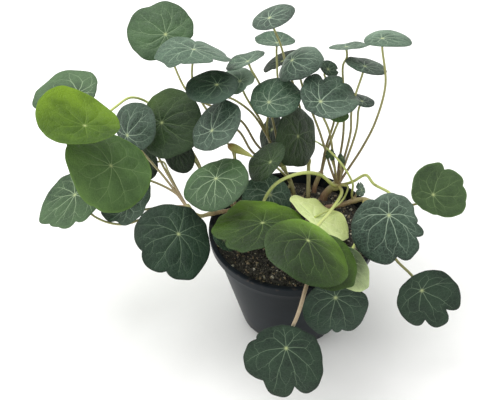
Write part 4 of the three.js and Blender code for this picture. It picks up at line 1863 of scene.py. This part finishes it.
BLADES = (
    Blade("leaf_01", Foliage.MILD, (-106, 121, 190), (270, 32, 230), (27, 0.27), (0.06, 0),
          ((206, 0.06),), hollows=((222, -0.07), (94, -0.07), (339, 0.07), (247, -0.06))),
    Blade("leaf_02", Foliage.GLAUCOUS, (-78, 82, 200), (60, 15, 243), (29, 0.1), (0.09, 0.13),
          ((314, 0.11), (8, 0.18), (150, 0.2)),
          hollows=((304, -0.08), (261, -0.08), (78, 0.06), (103, -0.08)), bright=(151, 0.3)),
    Blade("leaf_03", Foliage.DARK, (-59, 57, 185), (247, 5, 308), (20, 0.2), (0.06, 0),
          bright=(95, 0.6)),
    Blade("leaf_04", Foliage.GLAUCOUS, (-37, 82, 190), (150, 25, 326), (16.5, 0.45), (0.03, 0.05),
          wobble=0.03),
    Blade("leaf_05", Foliage.GLAUCOUS, (-43.5, 81.6, 172), (217, 13, 297), (15.8, 0.33), (0.06, 0),
          hollows=((157, 0.15), (111, -0.08), (223, -0.08), (193, -0.08)), bright=(226, 2.2),
          wobble=0.03),
    Blade("leaf_06", Foliage.GREY, (-21, 104, 215), (185, 20, 206), (17.5, 0.19), (0.08, 0),
          bright=(66, 0.25), ripple=0.004),
    Blade("leaf_07", Foliage.GLAUCOUS, (-15.8, 126.2, 180), (81, 13, 25), (16.9, 0.37),
          (-0.04, 0.04), wobble=0.035),
    Blade("leaf_08", Foliage.DEEP, (-11.8, 139.8, 154), (158, 27, 299), (18.8, 0.22), (0.08, 0.05),
          hollows=((125, 0.25), (150, 0.2), (170, 0.35)), ripple=0.003, wobble=0.035),
    Blade("leaf_09", Foliage.GREY, (-3, 84, 190), (190, 33, 160), (18.8, 0.16), (0.37, -0.1),
          hollows=((89, -0.06), (20, 0.03), (148, -0.08), (170, 0.14)), bright=(108, 1.0),
          ripple=0.03),
    Blade("leaf_10", Foliage.DARK, (26, 103, 170), (320, 28, 94), (8.2, 0.23), (0.07, 0.02),
          ((322, 0.2),)),
    Blade("leaf_11", Foliage.GLAUCOUS, (-20.2, 62.2, 166), (253, 19, 150), (19.7, 0.38), (0.07, 0),
          hollows=((165, -0.08), (136, -0.08), (82, -0.05), (185, -0.08)), ripple=0.02),
    Blade("leaf_12", Foliage.GREY, (19, 51, 175), (286, 17, 120), (22.8, 0.46), (0.04, -0.13),
          ((39, 0.19), (7, 0.16), (92, 0.06)),
          hollows=((247, -0.08), (168, -0.08), (10, -0.08), (227, -0.05)), bright=(307, 0.26),
          ripple=0.03),
    Blade("leaf_13", Foliage.MEADOW, (34, 62, 155), (310, 2, 309), (8, 0.12), (0.04, -0.02)),
    Blade("leaf_14", Foliage.GREY, (52.4, 76.4, 158), (25, 18, 86), (12.4, 0.32), (0.07, -0.05)),
    Blade("leaf_15", Foliage.GLAUCOUS, (38.5, 94.3, 196), (107, 22, 311), (16.3, 0.32), (0.03, 0),
          wobble=0.035),
    Blade("leaf_16", Foliage.GLAUCOUS, (63, 75, 215), (111, 11, 247), (17.6, 0.23), (0.08, -0.08),
          bright=(89, 0.55), ripple=0.004),
    Blade("leaf_17", Foliage.GREY, (52.7, 81.2, 187), (37, 15, 30), (16.7, 0.27), (0.07, 0),
          bright=(42, 0.4)),
    Blade("leaf_18", Foliage.GREEN, (109, 27, 105), (293, 30, 106), (23.2, 0.33), (0.04, -0.04),
          ((28, 0.13), (36, -0.06), (358, -0.02), (346, 0.07), (318, 0.02)),
          hollows=((147, -0.08), (243, 0.1), (165, -0.08), (215, 0.06), (295, -0.05), (332, 0.01))),
    Blade("leaf_19", Foliage.GREY, (69.5, -16.5, 123), (260, 48, 0), (26, 0.4), (0.05, 0),
          ((82, 0.12), (71, -0.03), (59, 0.16), (54, -0.07), (33, -0.04), (19, 0.1), (231, 0.07)),
          hollows=((100, 0.16), (221, 0.12), (150, -0.07), (180, -0.06)), bright=(173, 0.4)),
    Blade("leaf_20", Foliage.DARK, (96, -46, 75), (275, 65, 38), (23.8, 0.42), (0.05, 0.03),
          ((11, 0.2), (330, 0.17)), hollows=((223, -0.06), (70, 0.04), (258, -0.04))),
    Blade("leaf_21", Foliage.DARK, (-3, -92, 62), (265, 60, 356), (29.2, 0.41), (0.06, -0.03),
          ((335, 0.04), (18, 0.17), (262, 0.08)),
          hollows=((122, -0.08), (82, 0.05), (39, -0.04), (293, -0.04), (335, 0.13)), wobble=0.04),
    Blade("leaf_22", Foliage.DARK, (31.4, -66.1, 88), (274, 66, 358), (23.1, 0.44), (0.1, -0.05),
          ((358, 0.15), (13, 0.1), (95, -0.07)), hollows=((82, -0.08), (345, -0.06)),
          bright=(351, 0.4)),
    Blade("leaf_23", Foliage.FRESH, (-22, -24, 120), (104, 12, 104), (33, 0.09), (0.03, -0.05),
          ((341, -0.06), (302, 0.05), (273, -0.06), (218, 0.05), (8, 0.12), (44, -0.12),
           (72, 0.08)), bright=(248, 1.0)),
    Blade("leaf_24", Foliage.FRESH, (10.5, -62.8, 142), (14, 22, 265), (30.5, 0.27), (0.14, 0.06),
          bright=(142, 1.15)),
    Blade("leaf_25", Foliage.FRESH, (17.1, -59.9, 123), (339, 22, 33), (24.3, 0.3), (0.1, 0.04),
          ((322, -0.08),), bright=(15, 0.22)),
    Blade("leaf_26", Foliage.PALE_GREY, (38.3, -50.9, 106), (339, 28, 15), (18.1, 0.25),
          (0.12, -0.05), ((345, -0.05),), hollows=((7, 0.04),), bright=(312, 0.9)),
    Blade("leaf_27", Foliage.PALE, (16, -9, 112), (28, 37, 27), (27, 0.46), (0, 0.06),
          hollows=((44, 0.19), (16, 0.05), (343, 0.1)), bright=(30, 0.6), ripple=0.03, wobble=0.03),
    Blade("leaf_28", Foliage.GLAUCOUS, (-51, -24.7, 102), (359, 34, 55), (10.4, 0.17),
          (0.08, 0.01)),
    Blade("leaf_29", Foliage.DEEP, (-19, 88, 120), (200, 55, 0), (15.5, 0.2), (0.06, 0)),
    Blade("leaf_30", Foliage.GLAUCOUS, (54.3, 34.3, 102), (330, 60, 200), (6, 0.2), (0.15, 0.1),
          CURLED),
    Blade("leaf_31", Foliage.MOSS, (29.1, 44.4, 130), (300, 40, 0), (4.5, 0.1), (0.4, 0.2), CURLED),
    Blade("leaf_32", Foliage.MOSS, (-17.9, 24.9, 137), (190, 39, 306), (18.2, 0.34), (0.05, 0.06)),
    Blade("leaf_33", Foliage.MOSS, (2.9, 63.7, 132), (326, 68, 310), (24.6, 0.05), (0.1, -0.05),
          hollows=((81, -0.08), (140, -0.08), (51, -0.08), (16, 0.07))),
    Blade("leaf_34", Foliage.GLAUCOUS, (-18, 22, 106), (293, 38, 304), (19.9, 0.19), (0.1, 0)),
    Blade("leaf_35", Foliage.SAGE, (-58, 7, 135), (205, 16, 70), (25, 0.16), (0.08, -0.03),
          hollows=((134, -0.08), (286, -0.06), (178, 0.07), (163, -0.08)), bright=(187, 0.9)),
    Blade("leaf_36", Foliage.DARK, (-84.4, -25.4, 108), (329, 34, 277), (30, 0.23), (0.05, 0.07),
          ((17, 0.09), (337, 0.07)),
          hollows=((188, -0.08), (53, -0.06), (155, -0.08), (106, -0.03), (352, -0.04)),
          bright=(92, 0.35)),
    Blade("leaf_37", Foliage.DEEP, (-94.3, 58.8, 118), (235, 70, 34), (16.8, 0.1), (0.04, -0.05)),
    Blade("leaf_38", Foliage.MOSS, (-107.4, 71.4, 138), (237, 43, 109), (28.6, 0.21), (0.08, -0.05),
          hollows=((90, -0.04), (123, -0.04), (278, -0.04), (326, -0.04)), bright=(150, 0.25)),
    Blade("leaf_39", Foliage.GREY, (-62, 33, 160), (210, 36, 216), (22, 0.23), (0.1, 0.05),
          hollows=((309, -0.04), (138, -0.03), (240, -0.03), (332, -0.03)), bright=(229, 0.16),
          ripple=0.025),
    Blade("leaf_40", Foliage.GREY, (-134.8, 61.7, 132), (240, 69, 151), (19.4, 0.5), (0.14, -0.05),
          bright=(2, 0.14)),
    Blade("leaf_41", Foliage.SUNLIT, (-154, 21, 172), (11, 16, 130), (31.2, 0.25), (-0.07, 0.12),
          bright=(330, 1.0)),
    Blade("leaf_42", Foliage.MEADOW, (-138.5, 16.2, 138), (343, 39, 219), (36.3, 0.08),
          (0.08, 0.18), ((65, 0.03), (344, 0.03)), bright=(350, 0.5)),
    Blade("leaf_43", Foliage.SAGE, (-177, 88, 155), (244, 8, 274), (27, 0.45), (0.06, 0),
          hollows=((278, -0.06), (40, -0.08), (226, 0.06), (179, -0.08), (0, 0.03)),
          bright=(309, 0.5)),
    Blade("leaf_44", Foliage.SAGE, (-172.9, 18.9, 105), (212, 22, 34), (27.9, 0.18), (-0.04, 0.05),
          ((352, 0.06), (11, 0.03), (37, 0.11)),
          hollows=((50, -0.08), (242, -0.07), (336, -0.06), (282, 0.03), (25, -0.05)),
          bright=(36, 0.6)),
    Blade("leaf_45", Foliage.GREY, (-130, 13.6, 100), (211, 23, 264), (21.5, 0.2), (0.05, -0.05),
          hollows=((154, -0.08), (122, 0.15), (232, 0.09), (68, -0.08), (288, -0.08)),
          bright=(178, 0.2)),
    Blade("leaf_46", Foliage.DEEP, (-125.9, 74, 92), (236, 62, 311), (13.9, 0.09), (0.08, 0)),
    Blade("leaf_47", Foliage.MOSS, (37.8, 44, 127), (330, 50, 0), (4.2, 0.1), (0.4, 0.2), CURLED),
)

STEMS = (
    Stem("stem_right_back", Bark.REDDISH, 3.1,
         ((25, 40, 78.5), (25, 40, 89.5), (29, 40, 97), (35, 38, 104)), (
        Stalk("leaf_16", ((35, 38, 103), (43, 49, 110), (54, 60, 124), (63, 65, 146),
                          (68.5, 71, 177))),
        Stalk("leaf_17", ((35, 38, 103), (38, 48, 113), (44, 61, 138), (44, 65, 160))),
        Stalk("leaf_15", ((35, 38, 103), (36, 52, 114), (39, 68, 132), (38.5, 87, 158),
                          (37, 95, 178))),
        Stalk("leaf_14", ((35, 38, 103), (40, 48, 115), (49, 66, 138))),
        Stalk("leaf_12", ((35, 38, 103), (32, 48, 116), (27, 53, 145))),
        Stalk("leaf_09", ((35, 38, 103), (29, 43, 117), (20, 58, 140), (6, 78, 168))),
        Stalk("leaf_31", ((35, 38, 103), (33, 38, 116)), radius=0.7, rise=2),
        Stalk("leaf_47", ((35, 38, 103), (37, 40, 115)), radius=0.7, rise=2),
        Stalk("leaf_24", ((35, 38, 103), (38, 29, 105), (28, -4, 114), (18, -34, 128)),
              radius=1.2, bark=Bark.LIME),
        Stalk("leaf_23", ((35, 38, 103), (31, 33, 108), (21, 33, 118), (5, 24, 127),
                          (-12.6, 14.5, 125), (-22, 10.3, 111.5), (-24, -6, 106)),
              radius=1.3, bark=Bark.LIME),
        Stalk("", ((35, 38, 103), (39, 35, 106), (42.8, 33, 106.7), (42.3, 31, 103.2),
                   (39.7, 27, 99.1), (35.6, 21, 98.3), (28.5, 10, 102.8), (22.8, 1, 107.2),
                   (16.4, -8.8, 112.4)), radius=0.75, bark=Bark.LIME),
        Stalk("leaf_19", ((35, 38, 103), (42, 37, 106), (47.3, 33.5, 112), (56.3, 35, 117),
                          (62.4, 29.2, 113), (75, 24, 108)), radius=1.1, bark=Bark.LIME),
    )),
    Stem("stem_back", Bark.REDDISH, 2.1,
         ((17, 48, 78.5), (17, 48, 89.5), (19, 50, 97), (22, 50, 106)), (
        Stalk("leaf_10", ((22, 50, 105), (25, 60, 122), (32, 78, 143), (28, 96, 158))),
        Stalk("leaf_13", ((22, 50, 105), (27, 58, 125), (32, 61, 142))),
    )),
    Stem("stem_middle", Bark.OLIVE, 1.8,
         ((12, 41, 78.5), (12, 41, 89.5), (12.2, 56, 96), (12, 70, 103)), (
        Stalk("leaf_06", ((12, 70, 102), (8, 78, 130), (0, 94, 155), (-8, 105, 174),
                          (-12.5, 104, 192))),
        Stalk("leaf_07", ((12, 70, 102), (0, 86, 130), (-14, 108, 154), (-15.5, 118, 166))),
        Stalk("leaf_08", ((12, 70, 102), (6, 92, 120), (-6, 122, 134))),
        Stalk("leaf_29", ((12, 70, 102), (0, 80, 110))),
        Stalk("leaf_33", ((12, 70, 102), (4, 69, 121))),
    )),
    Stem("stem_left_back", Bark.OLIVE, 1.7,
         ((0, 44, 78.5), (0, 44, 89.5), (-3, 49, 98), (-9, 52, 111)), (
        Stalk("leaf_01", ((-9, 52, 110), (-29.3, 63.1, 122), (-43, 72.4, 140), (-64, 76, 150),
                          (-86, 90, 154), (-97.5, 104, 168))),
        Stalk("leaf_02", ((-9, 52, 110), (-32.7, 56.5, 120), (-44.5, 63, 137), (-67, 68, 150),
                          (-80, 77, 174))),
        Stalk("leaf_03", ((-9, 52, 110), (-21, 66, 128), (-33, 68, 150), (-46, 65, 165))),
        Stalk("leaf_04", ((-9, 52, 110), (-21, 86, 145), (-28.5, 84.5, 168), (-32.5, 80, 180))),
        Stalk("leaf_05", ((-9, 52, 110), (-21.4, 68.7, 126), (-26.1, 70.1, 140), (-39, 80, 158))),
        Stalk("leaf_11", ((-9, 52, 110), (-19.7, 65, 124), (-22, 66, 142))),
        Stalk("leaf_32", ((-3, 49, 98), (-7, 38, 113))),
        Stalk("leaf_34", ((-2, 47, 94), (-12, 37, 94))),
    )),
    Stem("stem_left", Bark.REDDISH, 1.7,
         ((-8, 28, 78.5), (-8, 28, 89.5), (-18, 23, 97), (-45, 12, 99), (-63, 7, 99), (-73, 4, 99),
          (-83, 11, 103)), (
        Stalk("leaf_42", ((-83, 11, 102), (-92, 23, 104), (-114, 38, 104), (-133, 38, 110))),
        Stalk("leaf_41", ((-63, 7, 99), (-70, 42, 98), (-88, 76, 108), (-106, 90, 121),
                          (-118, 96, 136), (-130.7, 76, 159), (-139.7, 58.6, 162)),
              radius=1.1, bark=Bark.LIME),
        Stalk("leaf_46", ((-83, 11, 102), (-96, 40, 98), (-105, 62, 94), (-113, 80, 90))),
        Stalk("leaf_44", ((-83, 11, 102), (-105, 12, 95), (-135, 6, 86), (-158, 12, 88))),
        Stalk("leaf_45", ((-83, 11, 102), (-100, 15, 98), (-115, 17, 93))),
        Stalk("leaf_36", ((-73, 4, 99), (-81, -6, 97))),
        Stalk("leaf_43", ((-83, 11, 102), (-105, 42, 106), (-125, 68, 108), (-150, 88, 125))),
        Stalk("leaf_40", ((-83, 11, 102), (-103, 45, 108), (-118, 72, 112), (-130, 82, 118))),
        Stalk("leaf_38", ((-63, 7, 99), (-75.7, 48.7, 112), (-82.2, 54.1, 124), (-93, 73, 131))),
        Stalk("leaf_37", ((-63, 7, 99), (-68, 32, 100), (-80, 58, 107))),
        Stalk("leaf_35", ((-45, 12, 99), (-51, 10, 112))),
        Stalk("leaf_39", ((-45, 12, 99), (-48, 28, 112), (-47, 43, 126), (-51, 44, 138))),
        Stalk("flower_bud", ((-45, 12, 99), (-46, 28, 113), (-45, 34, 126)), radius=0.8, rise=5),
        Stalk("leaf_28", ((-45, 12, 99), (-50, -8, 97))),
    )),
    Stem("stem_right", Bark.REDDISH, 2,
         ((26, 26, 78.5), (26, 26, 89.5), (30, 25, 92), (38, 25, 94), (48, 28, 96), (56, 27, 98.5),
          (66, 21, 99)), (
        Stalk("leaf_18", ((66, 21, 99), (80, 22, 98), (95, 25, 96))),
        Stalk("leaf_20", ((66, 21, 99), (73, 5, 94), (77, -18, 82), (90, -31, 75)), radius=1.1),
        Stalk("leaf_26", ((56, 27, 98.5), (52, -9, 98.5), (44, -28, 98)),
              radius=1.2, rise=4, bark=Bark.LIME),
        Stalk("", ((48, 28, 96), (46.2, 28.5, 100.9), (46.2, 29, 112.5), (43.6, 30.5, 118.6),
                   (37.7, 33, 127.8), (32, 37, 133.1), (26.8, 47, 131.9), (21.5, 66, 122.3),
                   (18, 84, 111.2), (13.2, 94, 106)), radius=0.8, bark=Bark.LIME),
        Stalk("leaf_30", ((48, 28, 96), (50, 34, 98)), radius=0.8, rise=3),
    )),
    Stem("stem_front", Bark.TAN, 1.4,
         ((8, -22, 78.5), (8, -22, 89.5), (9, -32, 94), (11, -46, 97)), (
        Stalk("leaf_21", ((11, -46, 97), (10.8, -63.5, 100), (8.8, -72, 98), (6.8, -77.9, 93),
                          (4.2, -81, 84), (1, -80, 70)), radius=1.4, bark=Bark.TAN),
        Stalk("leaf_22", ((9, -32, 94), (20, -42, 97), (27, -51, 97.5), (31, -59, 96.3)),
              radius=1, rise=4),
        Stalk("leaf_25", ((9, -32, 94), (12, -42, 101))),
        Stalk("leaf_27", ((8, -24, 90.5), (9, -18, 97))),
    )),
)


# ---- Assembly ------------------------------------------------------------------------------------


def settle(piece: bpy.types.Object, slot: str, *nodes: str) -> None:
    """Makes a piece ride on the plant's one body, in place of the solids that it stands for.

    Args:
        piece: The finished piece.
        slot: The record's material slot; not used.
        *nodes: The solids that it replaces.
    """
    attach(piece, BODY)
    if nodes:
        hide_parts(*nodes)


def main() -> None:
    """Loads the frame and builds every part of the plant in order."""
    logging.basicConfig(level=logging.INFO, format="%(message)s")
    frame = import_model()
    slots = {row["node"]: row["material_slot"] for row in frame["record"]["subparts"]}
    Studio().build()
    pot = Pot(slots["pot"])
    bud = Bud(slots["flower_bud"])
    groups = (
        pot,
        Soil(pot, slots["soil"], scatter_tool()),
        Stems(STEMS, BLADES, bud, tube_tool(), slots),
        bud,
        Leaves(BLADES, ridge_tool(), slots),
    )
    for group in groups:
        for piece in group.build():
            log.info("%s: %d faces", piece.name, len(piece.data.polygons))
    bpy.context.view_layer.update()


if __name__ == "__main__":
    main()
